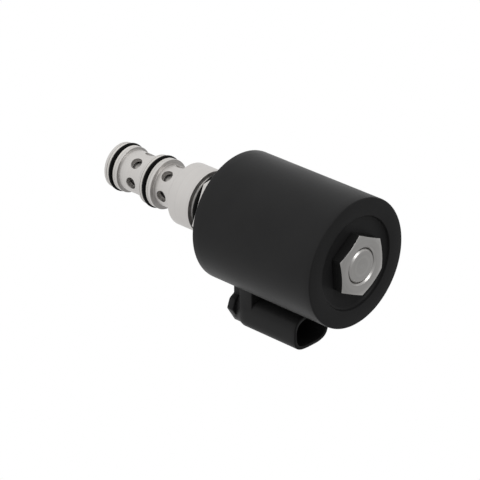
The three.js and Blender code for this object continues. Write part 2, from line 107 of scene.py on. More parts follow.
class VALVE_PG_body(PropertyGroup):
    """Sizes of the screw-in body."""

    thread_radius: length("Thread radius", 11.1, "Cylinder that carries the thread")
    neck_radius: length("Neck radius", 9.4, "Undercut that holds the boss seal")
    neck_length: length("Neck length", 5.2, "From the seat to the thread")
    hex_flats: length("Hex across flats", 25.4, "Wrench size of the body")
    hex_clocking: angle("Hex clocking", 22.8, "A corner of the hex, from up")
    chamfer_slope: FloatProperty(name="Chamfer slope", description="Of a hex's end", default=0.36)
    web_setback: length("Web setback", 0.8, "End of the wide bore inside the thread")
    core_bore: length("Core bore", 3.8, "Bore through the web")
    tube_depth: length("Tube depth", 6.2, "How deep the tube's bore is")
    edge: length("Edge", 0.16, "Rounding of turned edges")


class VALVE_PG_cage(PropertyGroup):
    """Sizes of the ported cage."""

    bore: length("Bore", 5.5, "Radius that the spool runs in")
    nose_land: length("Nose land radius", 8.2, "Land of the nose seal")
    nose_land_length: length("Nose land length", 6.5, "Length of that land")
    nose_waist: length("Nose waist radius", 7.3, "Between the two lands")
    mid_land: length("Middle land radius", 8.9, "Land of the middle seal")
    mid_land_length: length("Middle land length", 5.8, "Length of that land")
    cone: length("Cone length", 1.4, "Slope up to the middle land")
    upper_waist: length("Upper waist radius", 7.4, "Between the middle land and the thread")
    upper_waist_length: length("Upper waist length", 10.35, "Length of that waist")
    spigot: length("Spigot radius", 6.7, "Part of the cage inside the body")
    ring_depth: length("Ring groove depth", 0.7, "Groove of the retaining ring")
    port_radius: length("Port radius", 2.1, "Cross holes")
    port_count: count("Ports in a row", 6, "Cross holes round the cage")
    port_clocking: angle("Port clocking", 23.5, "A cross hole of each row, from up")
    nose_port: length("Nose port offset", 5.8, "Nose land to the first row")
    upper_port: length("Upper port offset", 3.6, "Middle land to the second row")
    chamfer: length("Chamfer", 0.5, "Chamfer of the nose")
    edge: length("Edge", 0.1, "Rounding of turned edges")


class VALVE_PG_seals(PropertyGroup):
    """Sizes of the seals and their grooves."""

    nose_lip: length("Nose lip", 1.5, "Land in front of the nose groove")
    mid_lip: length("Middle lip", 0.7, "Land in front of the middle groove")
    section: length("Cage seal section", 0.95, "Section radius of the cage's O-rings")
    proud: length("Proud", 0.48, "How far an O-ring stands above its land")
    backup: length("Backup thickness", 0.85, "Thickness of a backup ring")
    below: length("Below the land", 0.05, "How far a backup ring stays under its land")
    boss_section: length("Boss seal section", 1.2, "Section radius of the boss seal")
    boss_setback: length("Boss seal setback", 0.7, "From the seat to the boss seal")
    coil_section: length("Coil seal section", 0.8, "Section radius of the coil's seals")
    slip: length("Slip clearance", 0.1, "Between turned pieces that fit")
    seat: length("Seat clearance", 0.3, "Between faces that rest on each other")


class VALVE_PG_spool(PropertyGroup):
    """Sizes of the spool, its spring and what holds it."""

    run: length("Running clearance", 0.08, "Between the spool and its bore")
    stem: length("Stem radius", 4.9, "Between the lands")
    bore: length("Bore radius", 2.2, "Drilled along the spool")
    guide_overlap: length("Guide overlap", 1.1, "Land kept beyond the nose ports")
    metering_land: length("Metering land", 2.0, "Length of the land between the ports")
    head_land: length("Head land", 4.0, "Length of the upper land")
    boss_radius: length("Boss radius", 3.0, "Boss that the push pin meets")
    boss_length: length("Boss length", 2.2, "Length of that boss")
    cross_hole: length("Cross hole radius", 1.3, "Holes from the stem to the bore")
    cross_count: count("Cross holes", 4, "Number of those holes")
    balance_hole: length("Balance hole radius", 0.5, "Hole that levels the pressure")
    stroke: length("Stroke", 3.0, "Travel of the spool")
    pocket: length("Pocket depth", 3.3, "Depth of the spring's pocket")
    wire: length("Wire radius", 0.35, "Half the spring wire's diameter")
    spring_radius: length("Spring radius", 3.1, "Mean radius of the spring")
    turns: FloatProperty(name="Turns", description="All turns of the spring", default=4.4)
    seat_hole: length("Seat hole", 2.2, "Nose port through the spring seat")
    ring_opening: angle("Ring opening", 50, "Gap of the retaining ring")
    ring_reach: length("Ring reach", 0.6, "How far the ring stands in its groove")


class VALVE_PG_solenoid(PropertyGroup):
    """Sizes of what stands inside the coil."""

    tube_radius: length("Tube radius", 7.9, "Pressure tube that the coil slides over")
    tube_wall: length("Tube wall", 0.9, "Its wall")
    pole_spigot: length("Pole spigot", 3.7, "Foot of the pole piece in the body")
    pole_bevel: length("Pole bevel", 1.5, "Cone round the pole face")
    pin_radius: length("Pin radius", 1.5, "Push pin")
    bush_wall: length("Bush wall", 0.7, "Wall of the pin's bushes")
    shim_radius: length("Shim radius", 5.2, "Non-magnetic washer")
    vent_half: length("Vent half width", 0.8, "Grooves along the armature")
    vent_depth: length("Vent depth", 1.0, "Their depth")
    stud: length("Stud radius", 5.85, "Threaded end of the tube")
    nut_flats: length("Nut across flats", 19.5, "Wrench size of the coil nut")
    nut_clocking: angle("Nut clocking", -5.3, "A corner of the nut, from up")
    nut_bore: length("Nut bore", 6.1, "Radius of the nut's hole")
    nut_seal: length("Nut seal radius", 8.1, "Counterbore for the nut's seal")
    groove: length("Groove", 0.6, "Chamfers between the nut and the tube's end")
    edge: length("Edge", 0.12, "Rounding of edges")


class VALVE_PG_coil(PropertyGroup):
    """Sizes of the moulded coil."""

    radius: length("Radius", 22.5, "Outside of the coil")
    edge: length("Edge", 0.5, "Rounding of the outer edges")
    rear_wall: length("Rear wall", 3.2, "Moulding behind the rear washer")
    front_wall: length("Front wall", 2.2, "Moulding in front of the front washer")
    shell_wall: length("Shell wall", 1.8, "Moulding over the flux tube")
    bore: length("Bore", 8.1, "Radius of the hole through the coil")
    recess: length("Recess radius", 16.3, "Rim of the recess round the nut")
    recess_depth: length("Recess depth", 1.6, "Depth of the recess")
    recess_fillet: length("Recess fillet", 1.4, "Soft foot of the recess wall")
    base_seal: length("Base seal radius", 9.9, "Counterbore for the base seal")
    hub: length("Bobbin hub", 1.1, "Wall of the bobbin's hub")
    flange: length("Bobbin flange", 1.4, "Thickness of the bobbin's flanges")


class VALVE_PG_connector(PropertyGroup):
    """Sizes of the connector under the coil."""

    half_width: length("Half width", 8.35, "Half the barrel's width")
    half_height: length("Half height", 6.2, "Half the barrel's height")
    squareness: FloatProperty(name="Squareness", description="2 is an ellipse", default=3.2)
    wall: length("Wall", 1.2, "Wall round the socket")
    gap: length("Gap", 2.5, "Open space between the coil and the barrel")
    barrel: length("Barrel length", 27.7, "From the end plate to the mouth")
    socket: length("Socket depth", 20.5, "Depth of the socket")
    taper: length("Taper", 3.6, "Slimmer stretch at the end plate")
    slimming: length("Slimming", 0.55, "How much flatter that stretch is")
    waist: length("Waist", 1.15, "How much narrower it is on each side")
    plate: length("End plate", 2.7, "Thickness of the rear wall")
    plate_half_width: length("End plate half width", 8.95, "Half its width at the hip")
    shoulder: length("Shoulder", 5.0, "From the barrel's centre up to where the plate widens")
    hip: length("Hip", 0.4, "From the barrel's centre up to the plate's full width")
    cheek_inset: length("Cheek inset", 1.2, "How far its bend lies inside that width")
    cheek_rise: length("Cheek rise", 1.1, "How far the bend lies above the middle of that stretch")
    plate_slant: angle("End plate slant", 57, "Slope of its lower corners")
    plate_rise: length("End plate rise", 0.6, "Its foot above the barrel's underside")
    setback: length("Setback", 2.7, "From the coil's rear face")
    neck_half_width: length("Neck half width", 5.55, "Half the width of the neck's rear part")
    neck: length("Neck length", 5.1, "From the end plate's rear to the bridge")
    bridge_half_width: length("Bridge half width", 8.15, "Half the width of the neck's front part")
    bridge: length("Bridge length", 5.6, "Length of that part along the valve")
    fillet: length("Fillet", 0.8, "Where the neck grows out of the coil")
    edge: length("Edge", 0.3, "Rounding of the mouth")
    contact: length("Contact radius", 0.75, "Half a contact's diameter")


class VALVE_PG_colours(PropertyGroup):
    """Colours of the finishes."""

    moulding: colour("Moulding", (0.0165, 0.0165, 0.0168), "Glass-filled nylon")
    rubber: colour("Rubber", (0.002, 0.002, 0.002), "Seals")
    backup: colour("Backup", (0.66, 0.635, 0.60), "Fluoropolymer")
    steel: colour("Turned steel", (0.575, 0.557, 0.540), "Cage and body")
    nut: colour("Nut steel", (0.56, 0.55, 0.535), "Nut and tube end")
    # Painted shade: near-black colour laid on the nut's sides in place of their shade and the dark
    # reflection of the coil's recess
    painted_side_shade: colour("Painted side shade", (0.016, 0.016, 0.016), "Shade-painted sides of the nut")
    ground: colour("Ground steel", (0.58, 0.57, 0.555), "Spool and pin")
    spring: colour("Spring steel", (0.36, 0.36, 0.37), "Drawn wire")
    iron: colour("Soft iron", (0.33, 0.32, 0.31), "Magnetic pieces")
    bronze: colour("Bronze", (0.56, 0.38, 0.16), "Bushes and shim")
    tin: colour("Tin plate", (0.62, 0.60, 0.56), "Contacts")
    copper: colour("Copper wire", (0.56, 0.22, 0.07), "Winding")
    resin: colour("Bobbin resin", (0.62, 0.58, 0.48), "Bobbin")
    floor: colour("Floor", (1.0, 1.0, 1.0), "Pale floor")


class VALVE_PG_settings(PropertyGroup):
    """All settings of the valve."""

    body: PointerProperty(type=VALVE_PG_body)
    cage: PointerProperty(type=VALVE_PG_cage)
    seals: PointerProperty(type=VALVE_PG_seals)
    spool: PointerProperty(type=VALVE_PG_spool)
    solenoid: PointerProperty(type=VALVE_PG_solenoid)
    coil: PointerProperty(type=VALVE_PG_coil)
    connector: PointerProperty(type=VALVE_PG_connector)
    colours: PointerProperty(type=VALVE_PG_colours)


# ---- surfaces -----------------------------------------------------------------------------


def filleted(corners, steps=4, span=None):
    """Outline through (x, y, fillet radius) corners.

    Each corner becomes the arc that touches both its sides, as a rational quadratic curve whose
    middle weight is the sine of half the corner's angle, which is an exact arc. Stretches longer
    than the span are divided.
    """
    corners = np.array(corners, float)
    points, radii = corners[:, :2], corners[:, 2]
    behind = np.roll(points, 1, axis=0) - points
    ahead = np.roll(points, -1, axis=0) - points
    behind /= np.linalg.norm(behind, axis=1)[:, None]
    ahead /= np.linalg.norm(ahead, axis=1)[:, None]
    half = np.arccos(np.clip((behind * ahead).sum(axis=1), -1, 1)) / 2
    run = radii / np.tan(half)
    start = points + behind * run[:, None]
    end = points + ahead * run[:, None]
    t = np.linspace(0, 1, steps + 1)[None, :, None]
    middle = np.sin(half)[:, None, None]
    weights = (1 - t) ** 2, 2 * t * (1 - t) * middle, t**2
    arcs = weights[0] * start[:, None] + weights[1] * points[:, None] + weights[2] * end[:, None]
    outline = (arcs / sum(weights)).reshape(-1, 2)
    apart = np.linalg.norm(np.diff(outline, axis=0), axis=1) > WELD
    outline = outline[np.concatenate([[True], apart])]
    return outline if span is None else divided(outline, span)


def divided(outline, span):
    """The same outline with each stretch cut into equal parts no longer than the span."""
    steps = np.diff(outline, axis=0)
    parts = np.maximum(1, np.ceil(np.linalg.norm(steps, axis=1) / span)).astype(int)
    index = np.repeat(np.arange(len(parts)), parts)
    first = np.repeat(np.cumsum(parts) - parts, parts)
    share = (np.arange(parts.sum()) - first) / parts[index]
    return np.concatenate([outline[index] + steps[index] * share[:, None], outline[-1:]])


def around(columns, start=0.0):
    return start + np.arange(columns) * 2 * math.pi / columns


def turned_rows(outline, angles):
    """A surface of revolution: each outline point (x, r) goes round the X axis."""
    return row(outline[:, :1], outline[:, 1:], np.asarray(angles)[None, :])


def row(x, radii, angles):
    """Points at the given X, distance from the axis and angle. Each may change along the row."""
    x, radii, angles = np.broadcast_arrays(x, radii, angles)
    return np.stack([x, radii * np.sin(angles), radii * np.cos(angles)], axis=-1)


def swept(path, radii, sides, side_axis=(0, 1, 0)):
    """A round bar along a flat path: circles across its direction, closed at both ends."""
    path = np.asarray(path, float)
    forward = np.gradient(path, axis=0)
    forward /= np.linalg.norm(forward, axis=1)[:, None]
    side = np.broadcast_to(np.array(side_axis, float), path.shape)
    up = np.cross(forward, side)
    turn = around(sides)[None, :, None]
    circle = side[:, None] * np.cos(turn) + up[:, None] * np.sin(turn)
    return capped(path[:, None] + circle * np.asarray(radii)[:, None, None])


def capped(rows):
    """Rows closed at both ends: the first and last rows are drawn in to their middle."""
    ends = [np.broadcast_to(end.mean(axis=0), end.shape)[None] for end in (rows[0], rows[-1])]
    return np.concatenate([ends[0], rows, ends[1]])


def skin_faces(shape, closed, offset):
    """Quads between neighbouring rows, each row being a closed loop."""
    index = offset + np.arange(shape[0] * shape[1]).reshape(shape)
    beside = np.roll(index, -1, axis=1)
    above, above_beside = np.roll(index, -1, axis=0), np.roll(beside, -1, axis=0)
    last = len(index) if closed else len(index) - 1
    quads = np.stack([index, beside, above_beside, above], axis=-1)[:last]
    return quads.reshape(-1, 4)


def piece_from(name, skins, closed=False, sharp=38):
    """A mesh object from skins of rows, welded where they meet, with its faces outwards."""
    vertices, faces, offset = [], [], 0
    for rows in skins:
        vertices.append(rows.reshape(-1, 3))
        faces.append(skin_faces(rows.shape[:2], closed, offset))
        offset += len(vertices[-1])
    mesh = bpy.data.meshes.new(name)
    mesh.from_pydata(np.concatenate(vertices).tolist(), [], np.concatenate(faces).tolist())
    shape = bmesh.new()
    shape.from_mesh(mesh)
    bmesh.ops.remove_doubles(shape, verts=shape.verts, dist=WELD)
    bmesh.ops.recalc_face_normals(shape, faces=shape.faces)
    shape.to_mesh(mesh)
    shape.free()
    piece = bpy.data.objects.new(name, mesh)
    bpy.context.scene.collection.objects.link(piece)
    shade(piece, sharp)
    return piece


def shade(piece, sharp=38):
    """Smooth shading, with edges sharper than the angle kept."""
    piece.data.shade_smooth()
    piece.data.set_sharp_from_angle(angle=math.radians(sharp))


def turned(name, corners, columns=128, span=None):
    """A closed turned piece from the (x, r, fillet) corners of its section."""
    return piece_from(name, [turned_rows(filleted(corners, span=span), around(columns))], closed=True)


def solid_turned(name, corners, columns=96):
    """A turned piece whose outline starts and ends on the axis."""
    return piece_from(name, [turned_rows(filleted(corners), around(columns))])


def ring_corners(x0, x1, inner, outer, edge):
    return [(x0, inner, edge), (x0, outer, edge), (x1, outer, edge), (x1, inner, edge)]


def o_ring(name, x, middle, section, columns=144, sides=28):
    """A circle of the section's radius carried round the axis."""
    turn = around(sides)
    outline = np.stack([x + section * np.cos(turn), middle + section * np.sin(turn)], axis=-1)
    return piece_from(name, [turned_rows(outline, around(columns))], closed=True)


def ported_band(x0, x1, centre, hole, outer, inner, holes, start, across, edge):
    """Skins of a sleeve's wall from x0 to x1 with radial holes, one skin to a hole.

    Round each hole the rows run from the border of its share of the outside, straight in to the
    hole's rim, over a rounded edge, down the hole's wall and out again to the border inside. A
    rim point at an angle about the hole lies where the round hole meets the round wall: its
    angle about the axis is the arcsine of its sideways distance over the wall's radius.
    """
    along, rings = 10, 6
    half = math.pi / holes
    sweep = np.linspace(-half, half, across + 1)[:-1]
    forth = np.linspace(x1, x0, along + 1)[:-1]
    back = np.linspace(x0, x1, along + 1)[:-1]
    border_x = np.concatenate([np.full(across, x1), forth, np.full(across, x0), back])
    border_a = np.concatenate([sweep, np.full(along, half), -sweep, np.full(along, -half)])
    about = np.arctan2(border_a * outer, border_x - centre)

    def spread_rows(radius, wall, shares):
        rim_x = centre + radius * np.cos(about)
        rim_a = np.arcsin(radius * np.sin(about) / wall)
        shares = shares[:, None]
        return row(rim_x + (border_x - rim_x) * shares, wall, rim_a + (border_a - rim_a) * shares)

    def wall_row(radius, drop):
        sideways = radius * np.sin(about)
        height = np.sqrt(outer**2 - sideways**2) - drop
        return np.stack([centre + radius * np.cos(about), sideways, height], axis=-1)[None]

    shares = np.linspace(0, 1, rings + 1)
    rows = [spread_rows(hole + edge, outer, shares[::-1])]
    for turn in np.linspace(0, math.pi / 2, 4)[1:]:
        rows.append(wall_row(hole + edge * (1 - math.sin(turn)), edge * (1 - math.cos(turn))))
    rows.append(spread_rows(hole, inner, shares))
    local = np.concatenate(rows)
    turns = start + around(holes)[:, None, None]
    y = local[None, ..., 1] * np.cos(turns) + local[None, ..., 2] * np.sin(turns)
    z = local[None, ..., 2] * np.cos(turns) - local[None, ..., 1] * np.sin(turns)
    x = np.broadcast_to(local[None, ..., 0], y.shape)
    return list(np.stack([x, y, z], axis=-1))


def hexagon(flats, clocking, fillet=0.25 * MM, columns=144):
    """Angles and radii of a hexagon with rounded corners.

    Along a flat the radius is half the flats' distance over the cosine of the angle from the
    flat's middle. Near a corner it is where the ray meets the corner's arc.
    """
    near = np.radians([-1.2, -0.9, -0.6, -0.3, 0, 0.3, 0.6, 0.9, 1.2])
    corners = clocking + around(6)
    angles = np.concatenate([around(columns, clocking), (corners[:, None] + near).ravel()])
    angles = np.unique(np.round(np.mod(angles - clocking, 2 * math.pi), 6)) + clocking
    from_corner = np.mod(angles - clocking + math.pi / 6, math.pi / 3) - math.pi / 6
    from_flat = math.pi / 6 - np.abs(from_corner)
    half = flats / 2
    centre = (half - fillet) / math.cos(math.pi / 6)
    across = np.clip(fillet**2 - (centre * np.sin(from_corner)) ** 2, 0, None)
    rounded = centre * np.cos(from_corner) + np.sqrt(across)
    tangent = math.atan((half - fillet) * math.tan(math.pi / 6) / half)
    return angles, np.where(from_flat < tangent, half / np.cos(from_flat), rounded)


def hex_rows(x0, x1, angles, radii, flats, slope, edge):
    """Rows up a hexagonal bar: rounded foot, sides, and a conical chamfer at the far end.

    Where the hexagon reaches past the chamfer's circle, its side ends early by the slope times
    that excess. The side turns into the cone over a small arc.
    """
    circle = flats / 2 - edge
    end = x1 - slope * np.clip(radii - circle, 0, None)
    arc = np.linspace(0, math.pi / 2, 4)[:, None]
    foot = row(x0 + edge * (1 - np.sin(arc)), radii - edge * (1 - np.cos(arc)), angles)[::-1]
    top = row(end - edge * (1 - np.sin(arc)), radii - edge * (1 - np.cos(arc)), angles)
    rim = row(np.array([[x1]]), np.array([[circle - edge]]), angles)
    return np.concatenate([foot, top, rim])


def superellipse(half_width, half_height, power, centre, x, columns=96):
    """Rows in planes across X: half widths times a cosine and sine raised to 2 over the power."""
    turn = around(columns)[None, :]
    half_width, half_height, x = [np.reshape(v, (-1, 1)) for v in (half_width, half_height, x)]
    y = half_width * np.sign(np.cos(turn)) * np.abs(np.cos(turn)) ** (2 / power)
    z = centre + half_height * np.sign(np.sin(turn)) * np.abs(np.sin(turn)) ** (2 / power)
    return np.stack([np.broadcast_to(x, y.shape), y, z], axis=-1)


def combine(piece, other, operation):
    """Joins or cuts the piece with another closed solid, which is used up."""
    modifier = piece.modifiers.new("combine", "BOOLEAN")
    modifier.operation = operation
    modifier.solver = "EXACT"
    modifier.object = other
    bpy.context.view_layer.update()
    evaluated = piece.evaluated_get(bpy.context.evaluated_depsgraph_get())
    result = bpy.data.meshes.new_from_object(evaluated)
    piece.modifiers.clear()
    piece.data = result
    bpy.data.objects.remove(other)


# ---- finishes -----------------------------------------------------------------------------


def new_finish(name, base, metallic, roughness, specular=0.5):
    """A material with its shader set."""
    material = bpy.data.materials.new(name)
    material.use_nodes = True
    tree = material.node_tree
    shader = tree.nodes["Principled BSDF"]
    shader.inputs["Base Color"].default_value = (*base, 1)
    shader.inputs["Metallic"].default_value = metallic
    shader.inputs["Roughness"].default_value = roughness
    shader.inputs["Specular IOR Level"].default_value = specular
    return material, tree, shader


def node(tree, kind, **settings):
    """A node whose properties and inputs are given by name. A socket as a value is linked."""
    made = tree.nodes.new(kind)
    for key, value in settings.items():
        if hasattr(made, key):
            setattr(made, key, value)
            continue
        socket = made.inputs[key.replace("_", " ")]
        if isinstance(value, bpy.types.NodeSocket):
            tree.links.new(value, socket)
        else:
            socket.default_value = value
    return made


def maths(tree, operation, first, second=0.0):
    made = tree.nodes.new("ShaderNodeMath")
    made.operation = operation
    for socket, value in zip(made.inputs, (first, second)):
        if isinstance(value, bpy.types.NodeSocket):
            tree.links.new(value, socket)
        else:
            socket.default_value = value
    return made.outputs[0]


def object_point(tree):
    return node(tree, "ShaderNodeTexCoord").outputs["Object"]


def noise(tree, vector, scale, detail=3.0):
    return node(tree, "ShaderNodeTexNoise", Vector=vector, Scale=scale, Detail=detail).outputs["Fac"]


def line_noise(tree, value, scale):
    made = node(tree, "ShaderNodeTexNoise", noise_dimensions="1D", W=value, Scale=scale)
    return made.outputs["Fac"]


def ranged(tree, value, low, high):
    """Maps the middle half of a 0..1 value onto low..high."""
    made = node(
        tree, "ShaderNodeMapRange", Value=value, From_Min=0.25, From_Max=0.75, To_Min=low, To_Max=high
    )
    return made.outputs[0]


def toned(tree, value, base, share):
    """The base colour, darker and lighter by a share as the value goes from low to high."""
    ramp = node(tree, "ShaderNodeValToRGB", Fac=value)
    low, high = ramp.color_ramp.elements
    low.position, high.position = 0.3, 0.7
    low.color = (*[channel * (1 - share) for channel in base], 1)
    high.color = (*[min(1.0, channel * (1 + share)) for channel in base], 1)
    return ramp.outputs["Color"]


def bumped(tree, shader, heights):
    """Stacks (height, distance) bumps under the shader's normal."""
    normal = None
    for height, distance in heights:
        made = node(tree, "ShaderNodeBump", Height=height, Distance=distance)
        if normal is not None:
            tree.links.new(normal, made.inputs["Normal"])
        normal = made.outputs["Normal"]
    tree.links.new(normal, shader.inputs["Normal"])


def tool_path(tree, point):
    """X plus the distance from the axis: it steps across a lathe tool's path everywhere."""
    parts = node(tree, "ShaderNodeSeparateXYZ", Vector=point)
    across = maths(tree, "MULTIPLY", parts.outputs["Y"], parts.outputs["Y"])
    up = maths(tree, "MULTIPLY", parts.outputs["Z"], parts.outputs["Z"])
    radius = maths(tree, "SQRT", maths(tree, "ADD", across, up))
    return maths(tree, "ADD", parts.outputs["X"], radius)


def machined(name, base, roughness, marks=1.0, tone=0.06):
    """Turned metal: fine rings from the tool, soft blotches of tone and an uneven polish."""
    material, tree, shader = new_finish(name, base, 1.0, roughness)
    point = object_point(tree)
    across = tool_path(tree, point)
    blotches = noise(tree, point, 170.0, 4.0)
    bands = line_noise(tree, across, 1100.0)
    mixed = maths(tree, "MULTIPLY", maths(tree, "ADD", blotches, bands), 0.5)
    tree.links.new(toned(tree, mixed, base, tone), shader.inputs["Base Color"])
    polish = ranged(tree, mixed, roughness - 0.05, roughness + 0.07)
    tree.links.new(polish, shader.inputs["Roughness"])
    rings = line_noise(tree, across, 9000.0)
    pits = noise(tree, point, 4200.0, 2.0)
    bumped(tree, shader, [(pits, 0.8e-6 * marks), (rings, 2.4e-6 * marks)])
    return material


def faced(name, base, painted_side_shade, roughness):
    """Steel with a bright face, chamfers and thread end, and near-black sides that are painted shade.

    The bright part is where X plus the chamfer's slope times the distance from the axis past
    the chamfer's circle reaches the face, and all that lies in the bore. Everything else gets a
    near-black colour: painted shade and painted reflection of the coil's dark recess.
    """
    material = machined(name, base, roughness, marks=1.2)
    tree = material.node_tree
    shader = tree.nodes["Principled BSDF"]
    valve = settings()
    point = object_point(tree)
    x = node(tree, "ShaderNodeSeparateXYZ", Vector=point).outputs["X"]
    radius = maths(tree, "SUBTRACT", tool_path(tree, point), x)
    past = maths(tree, "SUBTRACT", radius, valve.solenoid.nut_flats / 2 - valve.solenoid.edge)
    chamfer = maths(tree, "MULTIPLY", maths(tree, "MAXIMUM", past), valve.body.chamfer_slope)
    cut = 0.06 * MM
    face = reach("coil_nut")[1] - cut
    # Where this mask is 0 the surface gets the painted shade of the sides, not the turned colour
    bright = maths(tree, "GREATER_THAN", maths(tree, "ADD", x, chamfer), face)
    collar = 0.5 * MM
    bore = valve.solenoid.stud + valve.solenoid.groove + collar
    bright = maths(tree, "MAXIMUM", bright, maths(tree, "LESS_THAN", radius, bore))
    turned_colour = shader.inputs["Base Color"].links[0].from_socket
    tree.links.new(bright, shader.inputs["Metallic"])
    shader.inputs["Specular IOR Level"].default_value = 0.1
    # Mixes the turned colour with the near-black painted shade of the sides
    mix = node(tree, "ShaderNodeMix", data_type="RGBA")
    tree.links.new(bright, mix.inputs[0])
    mix.inputs[6].default_value = (*painted_side_shade, 1)
    tree.links.new(turned_colour, mix.inputs[7])
    tree.links.new(mix.outputs[2], shader.inputs["Base Color"])
    return material


def drawn(name, base, roughness, scale):
    """Drawn, plated or wound metal: a fine grain and a slightly uneven colour."""
    material, tree, shader = new_finish(name, base, 1.0, roughness)
    point = object_point(tree)
    grain = noise(tree, point, scale, 4.0)
    tree.links.new(toned(tree, grain, base, 0.1), shader.inputs["Base Color"])
    polish = ranged(tree, grain, roughness - 0.06, roughness + 0.08)
    tree.links.new(polish, shader.inputs["Roughness"])
    bumped(tree, shader, [(noise(tree, point, scale * 6, 2.0), 1.5e-6)])
    return material


def moulded(name, base, roughness, grain=1.0, specular=0.5):
    """Moulded plastic or rubber: a pebbled grain, faint flow marks and an uneven sheen."""
    material, tree, shader = new_finish(name, base, 0.0, roughness, specular)
    point = object_point(tree)
    flow = noise(tree, point, 60.0, 5.0)
    tree.links.new(toned(tree, flow, base, 0.12), shader.inputs["Base Color"])
    sheen = ranged(tree, flow, roughness - 0.05, roughness + 0.06)
    tree.links.new(sheen, shader.inputs["Roughness"])
    pebbles = node(tree, "ShaderNodeTexVoronoi", Vector=point, Scale=2600.0).outputs["Distance"]
    waves = noise(tree, point, 700.0, 3.0)
    bumped(tree, shader, [(pebbles, 6e-6 * grain), (waves, 12e-6 * grain)])
    return material


def wound(name, base, roughness):
    """Enamelled wire laid in rings: rounded ridges a wire apart along X."""
    material, tree, shader = new_finish(name, base, 1.0, roughness)
    point = object_point(tree)
    tones = noise(tree, point, 240.0, 3.0)
    tree.links.new(toned(tree, tones, base, 0.15), shader.inputs["Base Color"])
    wave = node(
        tree, "ShaderNodeTexWave", bands_direction="X", Vector=point, Scale=370.0, Distortion=0.05
    )
    bumped(tree, shader, [(wave.outputs["Fac"], 60e-6)])
    return material


def finish(slot):
    """The finish of one of the record's material slots, made when it is first asked for."""
    name = f"finished_{slot}"
    if name in bpy.data.materials:
        return bpy.data.materials[name]
    colours = settings().colours
    made = {
        "steel": lambda: machined(name, colours.steel, 0.42),
        # nut_steel: turned steel whose sides carry a painted shade
        "nut_steel": lambda: faced(name, colours.nut, colours.painted_side_shade, 0.36),
        "spool_steel": lambda: machined(name, colours.ground, 0.5, marks=0.4),
        "spring_steel": lambda: drawn(name, colours.spring, 0.32, 900.0),
        "iron": lambda: machined(name, colours.iron, 0.42, marks=1.4),
        "bronze": lambda: machined(name, colours.bronze, 0.32),
        "contact": lambda: drawn(name, colours.tin, 0.28, 700.0),
        "magnet_wire": lambda: wound(name, colours.copper, 0.3),
        "moulding": lambda: moulded(name, colours.moulding, 0.42, specular=0.1),
        "bobbin_resin": lambda: moulded(name, colours.resin, 0.5, grain=0.6),
        "backup": lambda: moulded(name, colours.backup, 0.48, grain=0.4),
        "seal": lambda: moulded(name, colours.rubber, 0.45, grain=0.5, specular=0.06),
    }
    return made[slot]()


def settle(piece, slot, body, *nodes):
    """Gives a piece its finish, lets it stand for its nodes and ride on its body."""
    piece.data.materials.clear()
    piece.data.materials.append(finish(slot))
    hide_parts(*nodes)
    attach(piece, body)


def settings():
    return bpy.context.scene.valve


# ---- places along the valve ---------------------------------------------------------------


def cage_places():
    """Stations of the cage, from its ends in the frame and the lengths between them."""
    valve = settings()
    cage, seals = valve.cage, valve.seals
    nose, end = reach("cage")
    thread = reach("hex_adapter")[0]
    land_end = nose + cage.nose_land_length
    mid_end = thread - cage.upper_waist_length
    mid_start = mid_end - cage.mid_land_length
    return SimpleNamespace(
        nose=nose,
        end=end,
        step=thread - seals.seat,
        land_end=land_end,
        mid_start=mid_start,
        mid_end=mid_end,
        nose_groove=nose + seals.nose_lip,
        mid_groove=mid_start + seals.mid_lip,
        groove=2 * (seals.backup + seals.section + seals.slip),
        nose_port=land_end + cage.nose_port,
        upper_port=mid_end + cage.upper_port,
    )


def spool_places():
    """Stations of the spool, which its lands, ports and stroke fix."""
    valve = settings()
    cage, seals, spool = valve.cage, valve.seals, valve.spool
    at = cage_places()
    nose, top = reach("spool")
    metering = at.nose_port - cage.port_radius - seals.slip + spool.stroke
    head = at.upper_port + cage.port_radius + spool.stroke
    return SimpleNamespace(
        nose=nose,
        top=top,
        pocket_floor=nose + spool.pocket,
        guide_end=at.nose_port - cage.port_radius - spool.guide_overlap,
        metering=metering,
        metering_end=metering + spool.metering_land,
        head=head,
        head_end=head + spool.head_land,
    )


def connector_places():
    """Stations of the connector, from the coil's rear face and its own lengths."""
    valve = settings()
    plug = valve.connector
    start = reach("coil_housing")[0] + plug.setback
    plate_end = start + plug.plate
    mouth = plate_end + plug.barrel
    return SimpleNamespace(
        start=start,
        plate_end=plate_end,
        mouth=mouth,
        floor=mouth - plug.socket,
        centre=-(valve.coil.radius + plug.gap + plug.half_height),
    )


# ---- pieces -------------------------------------------------------------------------------


class ValveOperator(Operator):
    """What the valve's operators share."""

    bl_options = {"REGISTER", "UNDO"}

    def execute(self, context):
        self.build(context.scene.valve)
        return {"FINISHED"}


